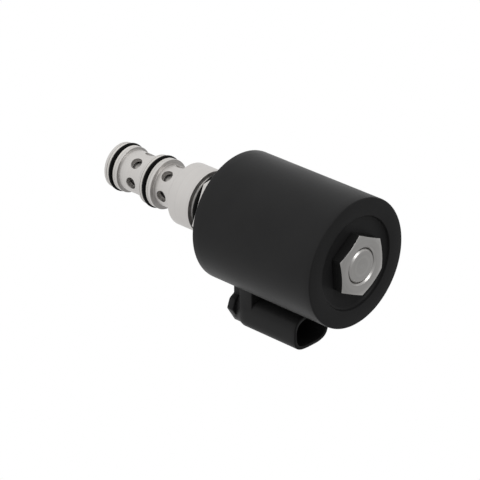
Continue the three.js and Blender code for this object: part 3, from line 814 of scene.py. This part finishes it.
class VALVE_OT_cage(ValveOperator):
    """Build the ported cage with its two lands and seal grooves"""

    bl_idname = "valve.cage"
    bl_label = "Cage"

    def build(self, valve):
        cage, seals = valve.cage, valve.seals
        at = cage_places()
        edge = cage.edge
        across = 22
        start = cage.port_clocking - math.pi / cage.port_count
        angles = around(across * cage.port_count, start)
        half_band = cage.port_radius + 1.1 * MM

        def band(centre, wall):
            return ported_band(
                centre - half_band, centre + half_band, centre, cage.port_radius, wall,
                cage.bore, cage.port_count, cage.port_clocking, across, edge,
            )

        def groove(x, land):
            floor = land + seals.proud - 2 * seals.section - seals.slip
            far = x + at.groove
            return [(x, land, edge), (x, floor, edge), (far, floor, edge), (far, land, edge)]

        ring_start, ring_end = reach("nose_retaining_ring")
        ring_start, ring_end = ring_start - seals.slip / 2, ring_end + seals.slip / 2
        ring_floor = cage.bore + cage.ring_depth
        nose_side = [
            (at.nose_port - half_band, cage.bore, 0),
            (ring_end, cage.bore, edge / 2),
            (ring_end, ring_floor, edge / 2),
            (ring_start, ring_floor, edge / 2),
            (ring_start, cage.bore, edge / 4),
            (at.nose + cage.chamfer / 2, cage.bore, edge / 4),
            (at.nose, cage.bore + cage.chamfer, edge),
            (at.nose, cage.nose_land - cage.chamfer, edge),
            (at.nose + cage.chamfer, cage.nose_land, edge),
            *groove(at.nose_groove, cage.nose_land),
            (at.land_end, cage.nose_land, edge),
            (at.land_end, cage.nose_waist, 2 * edge),
            (at.nose_port - half_band, cage.nose_waist, 0),
        ]
        between = [
            (at.nose_port + half_band, cage.nose_waist, 0),
            (at.mid_start - cage.cone, cage.nose_waist, 3 * edge),
            (at.mid_start, cage.mid_land, edge),
            *groove(at.mid_groove, cage.mid_land),
            (at.mid_end, cage.mid_land, edge),
            (at.mid_end, cage.upper_waist, 2 * edge),
            (at.upper_port - half_band, cage.upper_waist, 0),
        ]
        thread_side = [
            (at.upper_port + half_band, cage.upper_waist, 0),
            (at.step, cage.upper_waist, edge),
            (at.step, cage.spigot, edge),
            (at.end, cage.spigot, edge),
            (at.end, cage.bore, edge),
            (at.upper_port + half_band, cage.bore, 0),
        ]
        bore = [(at.nose_port + half_band, cage.bore), (at.upper_port - half_band, cage.bore)]
        outlines = [filleted(nose_side), filleted(between), filleted(thread_side), np.array(bore)]
        skins = [turned_rows(outline, angles) for outline in outlines]
        skins += band(at.nose_port, cage.nose_waist) + band(at.upper_port, cage.upper_waist)
        settle(piece_from("ported_cage", skins), "steel", "cartridge", "cage")


class VALVE_OT_cage_seals(ValveOperator):
    """Build an O-ring between two backup rings in each groove of the cage"""

    bl_idname = "valve.cage_seals"
    bl_label = "Cage Seals"

    def build(self, valve):
        cage, seals = valve.cage, valve.seals
        at = cage_places()
        for place, start, land in (
            ("nose", at.nose_groove, cage.nose_land),
            ("mid", at.mid_groove, cage.mid_land),
        ):
            middle = land + seals.proud - seals.section
            ring = o_ring(f"{place}_seal", start + at.groove / 2, middle, seals.section)
            settle(ring, "seal", "cartridge", f"{place}_o_ring")
            front = start + seals.slip / 2
            rear = start + at.groove - seals.slip / 2 - seals.backup
            for side, x in (("front", front), ("rear", rear)):
                inner, outer = middle - seals.section, land - seals.below
                corners = ring_corners(x, x + seals.backup, inner, outer, seals.slip)
                backup = turned(f"{place}_backup_{side}", corners)
                settle(backup, "backup", "cartridge", f"{place}_backup_ring_{side}")


class VALVE_OT_body(ValveOperator):
    """Build the screw-in body with its wrench hex, and the boss seal in its undercut"""

    bl_idname = "valve.body"
    bl_label = "Screw-in Body"

    def build(self, valve):
        body, cage, seals = valve.body, valve.cage, valve.seals
        thread, top = reach("hex_adapter")
        edge = body.edge
        angles, radii = hexagon(body.hex_flats, body.hex_clocking)
        web = -body.neck_length - body.web_setback
        spigot = cage.spigot + seals.slip
        tube = valve.solenoid.tube_radius + seals.slip
        tube_floor = top - body.tube_depth
        inside_face = body.hex_flats / 2 - 8 * edge
        outline = filleted([
            (top, inside_face, 0),
            (top, tube, edge),
            (tube_floor, tube, edge),
            (tube_floor, body.core_bore, edge),
            (web, body.core_bore, edge),
            (web, spigot, edge),
            (thread, spigot, edge),
            (thread, body.thread_radius, 2 * edge),
            (-body.neck_length, body.thread_radius, edge),
            (-body.neck_length, body.neck_radius, 2 * edge),
            (0, body.neck_radius, 2 * edge),
            (0, inside_face, 0),
        ])
        bar = hex_rows(0, top, angles, radii, body.hex_flats, body.chamfer_slope, edge)
        rows = np.concatenate([bar, turned_rows(outline, angles)])
        settle(piece_from("screw_in_body", [rows], closed=True), "steel", "cartridge", "hex_adapter")
        middle = body.neck_radius + seals.slip + seals.boss_section
        x = -seals.boss_section - seals.boss_setback
        ring = o_ring("boss_seal", x, middle, seals.boss_section)
        settle(ring, "seal", "cartridge", "boss_o_ring")


class VALVE_OT_spool(ValveOperator):
    """Build the hollow spool with its lands, cross holes and balance hole"""

    bl_idname = "valve.spool"
    bl_label = "Spool"

    def build(self, valve):
        spool, seals = valve.spool, valve.seals
        at = spool_places()
        land = valve.cage.bore - spool.run
        pocket = spool.spring_radius + spool.wire + seals.slip
        edge = seals.slip / 2
        columns = 96
        start = -math.pi / spool.cross_count
        angles = around(columns, start)
        cross = (at.guide_end + at.metering) / 2
        half_cross = (at.metering - at.guide_end) / 2 - 2 * seals.slip
        bore_end = at.top - spool.boss_length / 3
        balance = at.head_end + spool.boss_length / 3
        half_balance = spool.balance_hole + seals.slip
        nose_side = [
            (cross - half_cross, spool.bore, 0),
            (at.pocket_floor, spool.bore, edge),
            (at.pocket_floor, pocket, edge),
            (at.nose, pocket, edge),
            (at.nose, land, 2 * edge),
            (at.guide_end, land, edge),
            (at.guide_end, spool.stem, edge),
            (cross - half_cross, spool.stem, 0),
        ]
        between = [
            (cross + half_cross, spool.stem, 0),
            (at.metering, spool.stem, edge),
            (at.metering, land, edge),
            (at.metering_end, land, edge),
            (at.metering_end, spool.stem, edge),
            (at.head, spool.stem, edge),
            (at.head, land, edge),
            (at.head_end, land, edge),
            (at.head_end, spool.boss_radius, edge),
            (balance - half_balance, spool.boss_radius, 0),
        ]
        top = [
            (balance + half_balance, spool.boss_radius, 0),
            (at.top, spool.boss_radius, 3 * edge),
            (at.top, 0, 0),
        ]
        bore = np.array([(cross + half_cross, spool.bore), (balance - half_balance, spool.bore)])
        bottom = [(bore_end, 0, 0), (bore_end, spool.bore, edge), (balance + half_balance, spool.bore, 0)]
        outlines = [filleted(corners) for corners in (nose_side, between, top, bottom)]
        skins = [turned_rows(outline, angles) for outline in (*outlines, bore)]
        skins += ported_band(
            cross - half_cross, cross + half_cross, cross, spool.cross_hole, spool.stem, spool.bore,
            spool.cross_count, 0.0, columns // spool.cross_count, edge,
        )
        skins += ported_band(
            balance - half_balance, balance + half_balance, balance, spool.balance_hole,
            spool.boss_radius, spool.bore, 1, 0.0, columns, edge / 2,
        )
        settle(piece_from("hollow_spool", skins), "spool_steel", "spool", "spool")


class VALVE_OT_spring(ValveOperator):
    """Build the return spring, its seat and the snap ring that keeps them in the nose"""

    bl_idname = "valve.spring"
    bl_label = "Return Spring"

    def build(self, valve):
        cage, seals, spool = valve.cage, valve.seals, valve.spool
        seat_start, seat_face = reach("spring_seat")
        floor = spool_places().pocket_floor
        wire = spool.wire
        # closed ends: the pitch is one wire over the first and last turn, and wider between
        turn = np.linspace(0, spool.turns, round(spool.turns * 40) + 1)
        open_share = np.clip(np.minimum(turn, spool.turns - turn) - 0.75, 0, 0.5) / 0.5
        gap = seals.slip / 2
        height = floor - seat_face - 2 * (wire + gap)
        spare = height - 2 * wire * spool.turns
        closed = np.concatenate([[0], np.cumsum(np.diff(turn) * 2 * wire)])
        opened = np.concatenate([[0], np.cumsum((open_share[1:] + open_share[:-1]) / 2)])
        x = seat_face + wire + gap + closed + spare * opened / opened[-1]
        path = row(x, spool.spring_radius, turn * 2 * math.pi)
        forward = np.gradient(path, axis=0)
        forward /= np.linalg.norm(forward, axis=1)[:, None]
        outward = path * [0, 1, 1] / spool.spring_radius
        along = np.cross(forward, outward)
        sides = around(16)[None, :, None]
        ring = outward[:, None] * np.cos(sides) + along[:, None] * np.sin(sides)
        rows = path[:, None] + wire * ring
        # both ends are ground flat
        ground = wire / 3
        rows[..., 0] = np.clip(rows[..., 0], seat_face + gap + ground, floor - gap - ground)
        spring = piece_from("coiled_spring", [capped(rows)])
        settle(spring, "spring_steel", "cartridge", "return_spring")
        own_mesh(spring)

        corners = ring_corners(seat_start, seat_face, spool.seat_hole, cage.bore - seals.slip, gap)
        settle(turned("spring_washer", corners), "spring_steel", "cartridge", "spring_seat")

        ring_start, ring_end = reach("nose_retaining_ring")
        outer = cage.bore + spool.ring_reach
        corners = ring_corners(ring_start, ring_end, outer - 2 * spool.ring_reach, outer, 2 * gap)
        section = filleted(corners)
        sweep = np.linspace(spool.ring_opening / 2, 2 * math.pi - spool.ring_opening / 2, 121)
        rows = row(section[None, :, 0], section[None, :, 1], sweep[:, None])
        snap_ring = piece_from("snap_ring", [capped(rows)])
        settle(snap_ring, "spring_steel", "cartridge", "nose_retaining_ring")


class VALVE_OT_tube(ValveOperator):
    """Build the pressure tube and the threaded plug that closes it"""

    bl_idname = "valve.tube"
    bl_label = "Tube"

    def build(self, valve):
        part, seals = valve.solenoid, valve.seals
        bore = part.tube_radius - part.tube_wall
        edge = part.edge
        tube = turned("pressure_tube", ring_corners(*reach("guide_tube"), bore, part.tube_radius, edge))
        settle(tube, "steel", "cartridge", "guide_tube")
        start, end = reach("tube_end_plug")
        cap_start = reach("guide_tube")[1] + seals.seat
        cap_end = reach("coil_housing")[1] - valve.coil.recess_depth - seals.seat
        plug = solid_turned("threaded_plug", [
            (start, 0, 0),
            (start, bore - seals.slip, edge),
            (cap_start, bore - seals.slip, edge),
            (cap_start, part.tube_radius, edge),
            (cap_end, part.tube_radius, edge),
            (cap_end, part.stud, edge),
            (end - part.groove, part.stud, edge),
            (end, part.stud - part.groove, edge),
            (end, 0, 0),
        ])
        settle(plug, "nut_steel", "cartridge", "tube_end_plug")


class VALVE_OT_core(ValveOperator):
    """Build the pole piece, its bushes and shim, the armature and the push pin"""

    bl_idname = "valve.core"
    bl_label = "Core and Armature"

    def build(self, valve):
        part, seals, run = valve.solenoid, valve.seals, valve.spool.run
        edge = part.edge
        bore = part.tube_radius - part.tube_wall
        bush = part.pin_radius + run + part.bush_wall
        foot, face = reach("pole_piece")
        shoulder = reach("guide_tube")[0]
        lower_end = reach("pin_bush_lower")[1] + seals.seat
        upper_start = reach("pin_bush_upper")[0] - seals.seat
        radius = bore - seals.slip
        pole = turned("fixed_core", [
            (foot, bush + seals.slip, edge),
            (foot, part.pole_spigot, edge),
            (shoulder, part.pole_spigot, edge),
            (shoulder, radius, edge),
            (face - part.pole_bevel, radius, edge),
            (face, radius - part.pole_bevel, edge),
            (face, bush + seals.slip, edge),
            (upper_start, bush + seals.slip, edge),
            (upper_start, part.pin_radius + seals.seat, edge),
            (lower_end, part.pin_radius + seals.seat, edge),
            (lower_end, bush + seals.slip, edge),
        ])
        settle(pole, "iron", "cartridge", "pole_piece")
        for place in ("lower", "upper"):
            name = f"pin_bush_{place}"
            corners = ring_corners(*reach(name), part.pin_radius + run, bush, edge)
            settle(turned(f"{place}_bush", corners, 96), "bronze", "cartridge", name)
        corners = ring_corners(*reach("anti_stick_shim"), bush, part.shim_radius, edge / 2)
        settle(turned("pole_shim", corners, 96), "bronze", "cartridge", "anti_stick_shim")
        tip, end = reach("push_pin")
        pin = solid_turned("stroke_pin", [
            (tip, 0, 0),
            (tip, part.pin_radius, 3 * edge),
            (end, part.pin_radius, 3 * edge),
            (end, 0, 0),
        ])
        settle(pin, "spool_steel", "armature", "push_pin")
        self.build_armature(part, seals, bore - run, end + seals.slip)

    def build_armature(self, part, seals, radius, hole_end):
        """A bar with a groove along its top and bottom, and the pin's hole in its near end."""
        start, end = reach("armature")
        side = math.asin(part.vent_half / radius)
        arc = np.linspace(side, math.pi - side, 49)
        floor_z = radius - part.vent_depth
        floor_y = np.linspace(part.vent_half, -part.vent_half, 5)
        floor_angles = np.arctan2(floor_y, -floor_z)
        half_angles = np.concatenate([arc, np.mod(floor_angles, 2 * math.pi)])
        half_radii = np.concatenate([np.full(len(arc), radius), np.hypot(floor_y, floor_z)])
        angles = np.concatenate([half_angles, half_angles + math.pi])
        radii = np.concatenate([half_radii, half_radii])
        hole = part.pin_radius + seals.slip
        chamfer = 4 * part.edge
        slim = 1 - chamfer / radius
        rows = np.concatenate([
            turned_rows(np.array([(hole_end, 0), (hole_end, hole), (start, hole)]), angles),
            [row(start, radii * slim, angles), row(start + chamfer, radii, angles)],
            [row(end - chamfer, radii, angles), row(end, radii * slim, angles)],
            turned_rows(np.array([(end, 0)]), angles),
        ])
        settle(piece_from("moving_core", [rows]), "iron", "armature", "armature")


class VALVE_OT_coil_inside(ValveOperator):
    """Build the bobbin, the winding, the flux path and the seals inside the coil"""

    bl_idname = "valve.coil_inside"
    bl_label = "Inside the Coil"

    def build(self, valve):
        coil, seals, part = valve.coil, valve.seals, valve.solenoid
        edge = 2 * part.edge
        start, end = reach("bobbin")
        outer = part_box("bobbin")[1].z
        bore = coil.bore + seals.slip
        hub = bore + coil.hub
        bobbin = turned("coil_bobbin", [
            (start, bore, edge),
            (start, outer, edge),
            (start + coil.flange, outer, edge),
            (start + coil.flange, hub, edge),
            (end - coil.flange, hub, edge),
            (end - coil.flange, outer, edge),
            (end, outer, edge),
            (end, bore, edge),
        ], span=4 * MM)
        settle(bobbin, "bobbin_resin", "coil", "bobbin")
        wound_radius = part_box("winding")[1].z
        corners = ring_corners(*reach("winding"), hub + seals.seat, wound_radius, edge)
        settle(turned("copper_winding", corners, span=4 * MM), "magnet_wire", "coil", "winding")
        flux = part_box("flux_washer_rear")[1].z
        for place in ("rear", "front"):
            name = f"flux_washer_{place}"
            washer = turned(f"{place}_washer", ring_corners(*reach(name), bore, flux, edge))
            settle(washer, "iron", "coil", name)
        self.build_flux_tube(valve, flux, outer + seals.seat)
        nut_start = reach("coil_nut")[0]
        section = seals.coil_section
        for name, node_name, body, x, counterbore in (
            ("base_seal", "coil_base_o_ring", "coil", reach("coil_housing")[0], coil.base_seal),
            ("nut_seal_ring", "nut_o_ring", "nut_seal", nut_start, part.nut_seal),
        ):
            ring = o_ring(name, x + section, counterbore - section - seals.slip, section)
            settle(ring, "seal", body, node_name)

    def build_flux_tube(self, valve, outer, inner):
        """A ring with a window underneath for the contacts' legs."""
        seals, plug = valve.seals, valve.connector
        start, end = reach("flux_tube")
        tube = turned("flux_ring", ring_corners(start, end, inner, outer, valve.solenoid.edge))
        low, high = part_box("terminal_pin_left"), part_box("terminal_pin_right")
        half_width = high[1].y + 2 * seals.seat
        window_end = low[0].x + 2 * plug.contact + 2 * seals.seat
        y = half_width * np.array([-1, 1, 1, -1])
        z = np.array([-outer - MM, -outer - MM, -inner / 2, -inner / 2])
        rows = [np.stack([np.full(4, x), y, z], axis=-1) for x in (start - MM, window_end)]
        combine(tube, piece_from("window", [capped(np.array(rows))]), "DIFFERENCE")
        shade(tube)
        settle(tube, "iron", "coil", "flux_tube")


class VALVE_OT_housing(ValveOperator):
    """Build the coil's moulded cover with its connector"""

    bl_idname = "valve.housing"
    bl_label = "Coil Cover"

    def build(self, valve):
        coil, seals = valve.coil, valve.seals
        start, end = reach("coil_housing")
        floor = end - coil.recess_depth
        cavity_start, cavity_end = start + coil.rear_wall, floor - coil.front_wall
        cavity = coil.radius - coil.shell_wall
        seal_end = start + 2 * seals.coil_section + seals.slip
        edge = seals.slip
        cover = turned("coil_cover", [
            (start, coil.base_seal, edge),
            (start, coil.radius, coil.edge),
            (end, coil.radius, coil.edge),
            (end, coil.recess, coil.edge / 2),
            (floor, coil.recess, coil.recess_fillet),
            (floor, coil.bore, edge),
            (cavity_end, coil.bore, edge),
            (cavity_end, cavity, edge),
            (cavity_start, cavity, edge),
            (cavity_start, coil.bore, edge),
            (seal_end, coil.bore, edge),
            (seal_end, coil.base_seal, edge),
        ], columns=180, span=3 * MM)
        plug = valve.connector
        rear = connector_places().start
        bridge = rear + plug.neck
        for solid in (
            self.neck(valve, rear + plug.edge, bridge + plug.edge, plug.neck_half_width),
            self.neck(valve, bridge, bridge + plug.bridge, plug.bridge_half_width),
            self.end_plate(valve),
            self.barrel(valve),
        ):
            combine(cover, solid, "UNION")
        for side in ("left", "right"):
            combine(cover, contact_bar(f"{side}_channel", side, seals.seat), "DIFFERENCE")
        shade(cover, 32)
        settle(cover, "moulding", "coil", "coil_housing")

    def barrel(self, valve):
        """Oval tube with a rounded mouth, slimmer at the end plate, with its socket."""
        plug = valve.connector
        at = connector_places()
        begin = at.plate_end - MM
        x = divided(np.array([(begin, 0), (at.mouth - plug.edge, 0)]), 1.5 * MM)[:, 0]
        share = np.clip((at.plate_end + plug.taper - x) / plug.taper, 0, 1)
        share = share**2 * (3 - 2 * share)
        turn = np.linspace(0, math.pi / 2, 5)[1:]
        mouth_x = at.mouth - plug.edge * (1 - np.sin(turn))
        inner_x = np.concatenate([at.mouth - plug.edge / 2 * (1 - np.cos(turn)), [at.floor]])
        inner = np.concatenate([plug.wall - plug.edge / 2 * (1 - np.sin(turn)), [plug.wall]])
        inset = np.concatenate([np.zeros(len(x)), plug.edge * (1 - np.cos(turn)), inner])
        share = np.concatenate([share, np.zeros(len(inset) - len(x))])
        rows = superellipse(
            plug.half_width - plug.waist * share - inset,
            plug.half_height - plug.slimming * share - inset,
            plug.squareness, at.centre, np.concatenate([x, mouth_x, inner_x]),
        )
        return piece_from("barrel", [capped(rows)])

    def end_plate(self, valve):
        """Plate as wide as the neck at the coil, full at the hip, with slanted lower corners.

        Its outline shrinks towards its own middle by the drop of a quarter circle at both faces.
        """
        plug = valve.connector
        at = connector_places()
        wide, neck = plug.plate_half_width, plug.neck_half_width
        foot = at.centre - plug.half_height + plug.plate_rise
        hip = at.centre + plug.hip
        shoulder = at.centre + plug.shoulder
        top = -math.sqrt((valve.coil.radius - valve.coil.shell_wall / 3) ** 2 - neck**2)
        right = [
            (wide - (hip - foot) / math.tan(plug.plate_slant), foot, 1.2 * MM),
            (wide, hip, 0.8 * MM),
            (wide - plug.cheek_inset, (hip + shoulder) / 2 + plug.cheek_rise, 1.8 * MM),
            (neck, shoulder, 0.5 * MM),
            (neck, top, 0),
        ]
        left = [(-y, z, fillet) for y, z, fillet in right[::-1]]
        outline = divided(filleted(right + left, steps=8), MM)
        middle = np.array([0, at.centre])
        arc = np.linspace(0, math.pi / 2, 4)
        drop = plug.edge * (1 - np.cos(arc)) / plug.half_height
        shrink = 1 - np.concatenate([drop[::-1], drop])
        rounding = plug.edge * (1 - np.sin(arc))
        x = np.concatenate([at.start + rounding[::-1], at.plate_end - rounding])
        flat = middle + (outline - middle) * shrink[:, None, None]
        x = np.broadcast_to(x[:, None, None], (*flat.shape[:2], 1))
        return piece_from("end_plate", [capped(np.concatenate([x, flat], axis=-1))])

    def neck(self, valve, near, far, half):
        """Block between the coil and the barrel, which widens in a quarter circle at the coil.

        Above its flat foot, a row keeps one distance r from the axis: z = -sqrt(r² - y²).
        """
        plug, coil = valve.connector, valve.coil
        at = connector_places()
        root = coil.radius - 0.3 * MM
        turn = np.linspace(0, math.pi / 2, 7)
        distance = root + plug.fillet * (1 - np.sin(turn))
        distance = np.concatenate([[-at.centre], distance, [coil.radius - coil.shell_wall / 2]])
        below = np.clip(distance - root, 0, plug.fillet)
        wider = plug.fillet - np.sqrt(plug.fillet**2 - (plug.fillet - below) ** 2)
        corner = 0.35 * MM
        outlines = [
            divided(filleted([
                (near, -half - more, corner),
                (far + more, -half - more, corner),
                (far + more, half + more, corner),
                (near, half + more, corner),
            ]), 50 * MM)
            for more in wider
        ]
        across = [flat[:, 1] for flat in outlines]
        heights = [np.full(len(across[0]), at.centre)]
        heights += [-np.sqrt(r**2 - y**2) for r, y in zip(distance[1:], across[1:])]
        rows = [np.column_stack([flat, height]) for flat, height in zip(outlines, heights)]
        return piece_from("neck", [capped(np.array(rows))])


def contact_bar(name, side, margin=0.0):
    """A round bar down from the winding, round a bend and out into the socket."""
    valve = settings()
    plug = valve.connector
    at = connector_places()
    low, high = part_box(f"terminal_pin_{side}")
    radius = plug.contact + margin
    y = (low.y + high.y) / 2
    x = low.x + plug.contact
    bend = 2 * plug.contact
    top, tip = high.z + 3 * margin, high.x + margin
    turn = np.linspace(0, math.pi / 2, 9)
    nose = np.linspace(0, 1, 7)[1:]
    path_x = np.concatenate([[x, x], x + bend * (1 - np.cos(turn)), [tip - radius]])
    path_x = np.concatenate([path_x, tip - radius + radius * nose])
    path_z = np.concatenate([[top, at.centre + bend + plug.contact], at.centre + bend * (1 - np.sin(turn))])
    path_z = np.concatenate([path_z, np.full(len(nose) + 1, at.centre)])
    path = np.column_stack([path_x, np.full(len(path_x), y), path_z])
    radii = np.full(len(path), radius)
    radii[-len(nose):] = radius * np.sqrt(1 - (0.94 * nose) ** 2)
    return piece_from(name, [swept(path, radii, 32)])


class VALVE_OT_contacts(ValveOperator):
    """Build the two round contacts in the connector"""

    bl_idname = "valve.contacts"
    bl_label = "Contacts"

    def build(self, valve):
        for side in ("left", "right"):
            settle(contact_bar(f"{side}_contact", side), "contact", "coil", f"terminal_pin_{side}")


class VALVE_OT_nut(ValveOperator):
    """Build the hex nut that clamps the coil"""

    bl_idname = "valve.nut"
    bl_label = "Coil Nut"

    def build(self, valve):
        part, seals = valve.solenoid, valve.seals
        start, end = reach("coil_nut")
        edge = part.edge
        angles, radii = hexagon(part.nut_flats, part.nut_clocking)
        seal_end = start + 2 * seals.coil_section + seals.slip
        outline = filleted([
            (end, part.nut_seal, 0),
            (end, part.nut_bore + part.groove, edge),
            (end - part.groove, part.nut_bore, edge),
            (seal_end, part.nut_bore, edge),
            (seal_end, part.nut_seal, edge),
            (start, part.nut_seal, edge),
            (start, part.nut_seal + 4 * edge, 0),
        ])
        slope = valve.body.chamfer_slope
        bar = hex_rows(start, end, angles, radii, part.nut_flats, slope, edge)
        rows = np.concatenate([bar, turned_rows(outline, angles)])
        settle(piece_from("hex_nut", [rows], closed=True), "nut_steel", "coil_nut", "coil_nut")


class VALVE_OT_stage(ValveOperator):
    """Set up the pale floor, the soft studio light and the camera"""

    bl_idname = "valve.stage"
    bl_label = "Studio"

    def build(self, valve):
        scene = bpy.context.scene
        scene.view_settings.view_transform = "Standard"
        depth, half_side = 0.25, 3.0
        corners = half_side * np.array([(-1, -1), (1, -1), (1, 1), (-1, 1)])
        mesh = bpy.data.meshes.new("floor")
        points = np.column_stack([corners, np.full(4, -depth)])
        mesh.from_pydata(points.tolist(), [], [(0, 1, 2, 3)])
        floor = bpy.data.objects.new("floor", mesh)
        scene.collection.objects.link(floor)
        mesh.materials.append(self.floor_finish(valve))
        scene.world = self.studio_light()
        face = Vector((reach("coil_housing")[1], 0, 0))
        self.softbox("rim_light", face, (1.0, 0.0, 0.98), 0.7, 5.0)
        self.camera(scene, face)

    def floor_finish(self, valve):
        """Pale and evenly lit as seen by the camera, and no more than air to the light."""
        material = bpy.data.materials.new("floor")
        material.use_nodes = True
        tree = material.node_tree
        tree.nodes.clear()
        seen = node(tree, "ShaderNodeLightPath").outputs["Is Camera Ray"]
        clear = node(tree, "ShaderNodeBsdfTransparent").outputs[0]
        pale = node(tree, "ShaderNodeEmission", Color=(*valve.colours.floor, 1)).outputs[0]
        mix = node(tree, "ShaderNodeMixShader", Fac=seen)
        tree.links.new(clear, mix.inputs[1])
        tree.links.new(pale, mix.inputs[2])
        output = tree.nodes.new("ShaderNodeOutputMaterial")
        tree.links.new(mix.outputs[0], output.inputs["Surface"])
        return material

    def studio_light(self):
        """A white tent round the valve, dimmer towards +X and brighter overhead."""
        world = bpy.data.worlds.new("studio")
        world.use_nodes = True
        tree = world.node_tree
        background = tree.nodes["Background"]
        background.inputs["Color"].default_value = (1, 1, 1, 1)
        way = node(tree, "ShaderNodeTexCoord").outputs["Generated"]
        parts = node(tree, "ShaderNodeSeparateXYZ", Vector=way)
        tent = node(
            tree, "ShaderNodeMapRange", Value=parts.outputs["X"],
            From_Min=-0.4, From_Max=0.6, To_Min=1.0, To_Max=0.42,
        ).outputs[0]
        overhead = maths(tree, "MULTIPLY", parts.outputs["Z"], 0.12)
        strength = maths(tree, "ADD", tent, overhead)
        seen = node(tree, "ShaderNodeLightPath").outputs["Is Camera Ray"]
        strength = maths(tree, "MAXIMUM", strength, seen)
        tree.links.new(strength, background.inputs["Strength"])
        return world

    def softbox(self, name, middle, offset, size, power):
        """A square soft light at an offset from the middle, facing it."""
        light = bpy.data.lights.new(name, "AREA")
        light.size = size
        light.energy = power
        lamp = bpy.data.objects.new(name, light)
        lamp.location = middle + Vector(offset)
        lamp.rotation_euler = (-Vector(offset)).to_track_quat("-Z", "Y").to_euler()
        bpy.context.scene.collection.objects.link(lamp)

    def camera(self, scene, face):
        """A long lens above the front left of the coil's face."""
        lens = bpy.data.cameras.new("camera")
        lens.lens = 230.8
        lens.sensor_width = 36
        lens.clip_end = 20
        camera = bpy.data.objects.new("camera", lens)
        right = Vector((0.72404, 0.68976, 0.0))
        up = Vector((-0.31091, 0.32636, 0.89265))
        turn = Matrix((right, up, right.cross(up))).transposed()
        camera.rotation_euler = turn.to_euler()
        camera.location = face + Vector((0.58184, -0.66518, 0.45442))
        scene.collection.objects.link(camera)
        scene.camera = camera


# ---- add-on -------------------------------------------------------------------------------

OPERATORS = (
    VALVE_OT_stage,
    VALVE_OT_cage,
    VALVE_OT_cage_seals,
    VALVE_OT_body,
    VALVE_OT_spool,
    VALVE_OT_spring,
    VALVE_OT_tube,
    VALVE_OT_core,
    VALVE_OT_coil_inside,
    VALVE_OT_housing,
    VALVE_OT_contacts,
    VALVE_OT_nut,
)


class VALVE_PT_panel(Panel):
    """Lists the valve's pieces and their settings"""

    bl_idname = "VALVE_PT_panel"
    bl_label = "Cartridge Valve"
    bl_space_type = "VIEW_3D"
    bl_region_type = "UI"
    bl_category = "Valve"

    def draw(self, context):
        column = self.layout.column(align=True)
        for operator in OPERATORS:
            column.operator(operator.bl_idname)
        for group in context.scene.valve.bl_rna.properties:
            if group.type != "POINTER" or group.identifier == "rna_type":
                continue
            box = self.layout.box()
            box.label(text=group.identifier.capitalize())
            sizes = getattr(context.scene.valve, group.identifier)
            for size in sizes.bl_rna.properties:
                if size.identifier not in ("rna_type", "name"):
                    box.prop(sizes, size.identifier)


CLASSES = (
    VALVE_PG_body,
    VALVE_PG_cage,
    VALVE_PG_seals,
    VALVE_PG_spool,
    VALVE_PG_solenoid,
    VALVE_PG_coil,
    VALVE_PG_connector,
    VALVE_PG_colours,
    VALVE_PG_settings,
    *OPERATORS,
    VALVE_PT_panel,
)


def register():
    for cls in CLASSES:
        bpy.utils.register_class(cls)
    bpy.types.Scene.valve = PointerProperty(type=VALVE_PG_settings)


def unregister():
    del bpy.types.Scene.valve
    for cls in reversed(CLASSES):
        bpy.utils.unregister_class(cls)


def main():
    register()
    for operator in OPERATORS:
        group, name = operator.bl_idname.split(".")
        getattr(getattr(bpy.ops, group), name)()


if __name__ == "__main__":
    main()
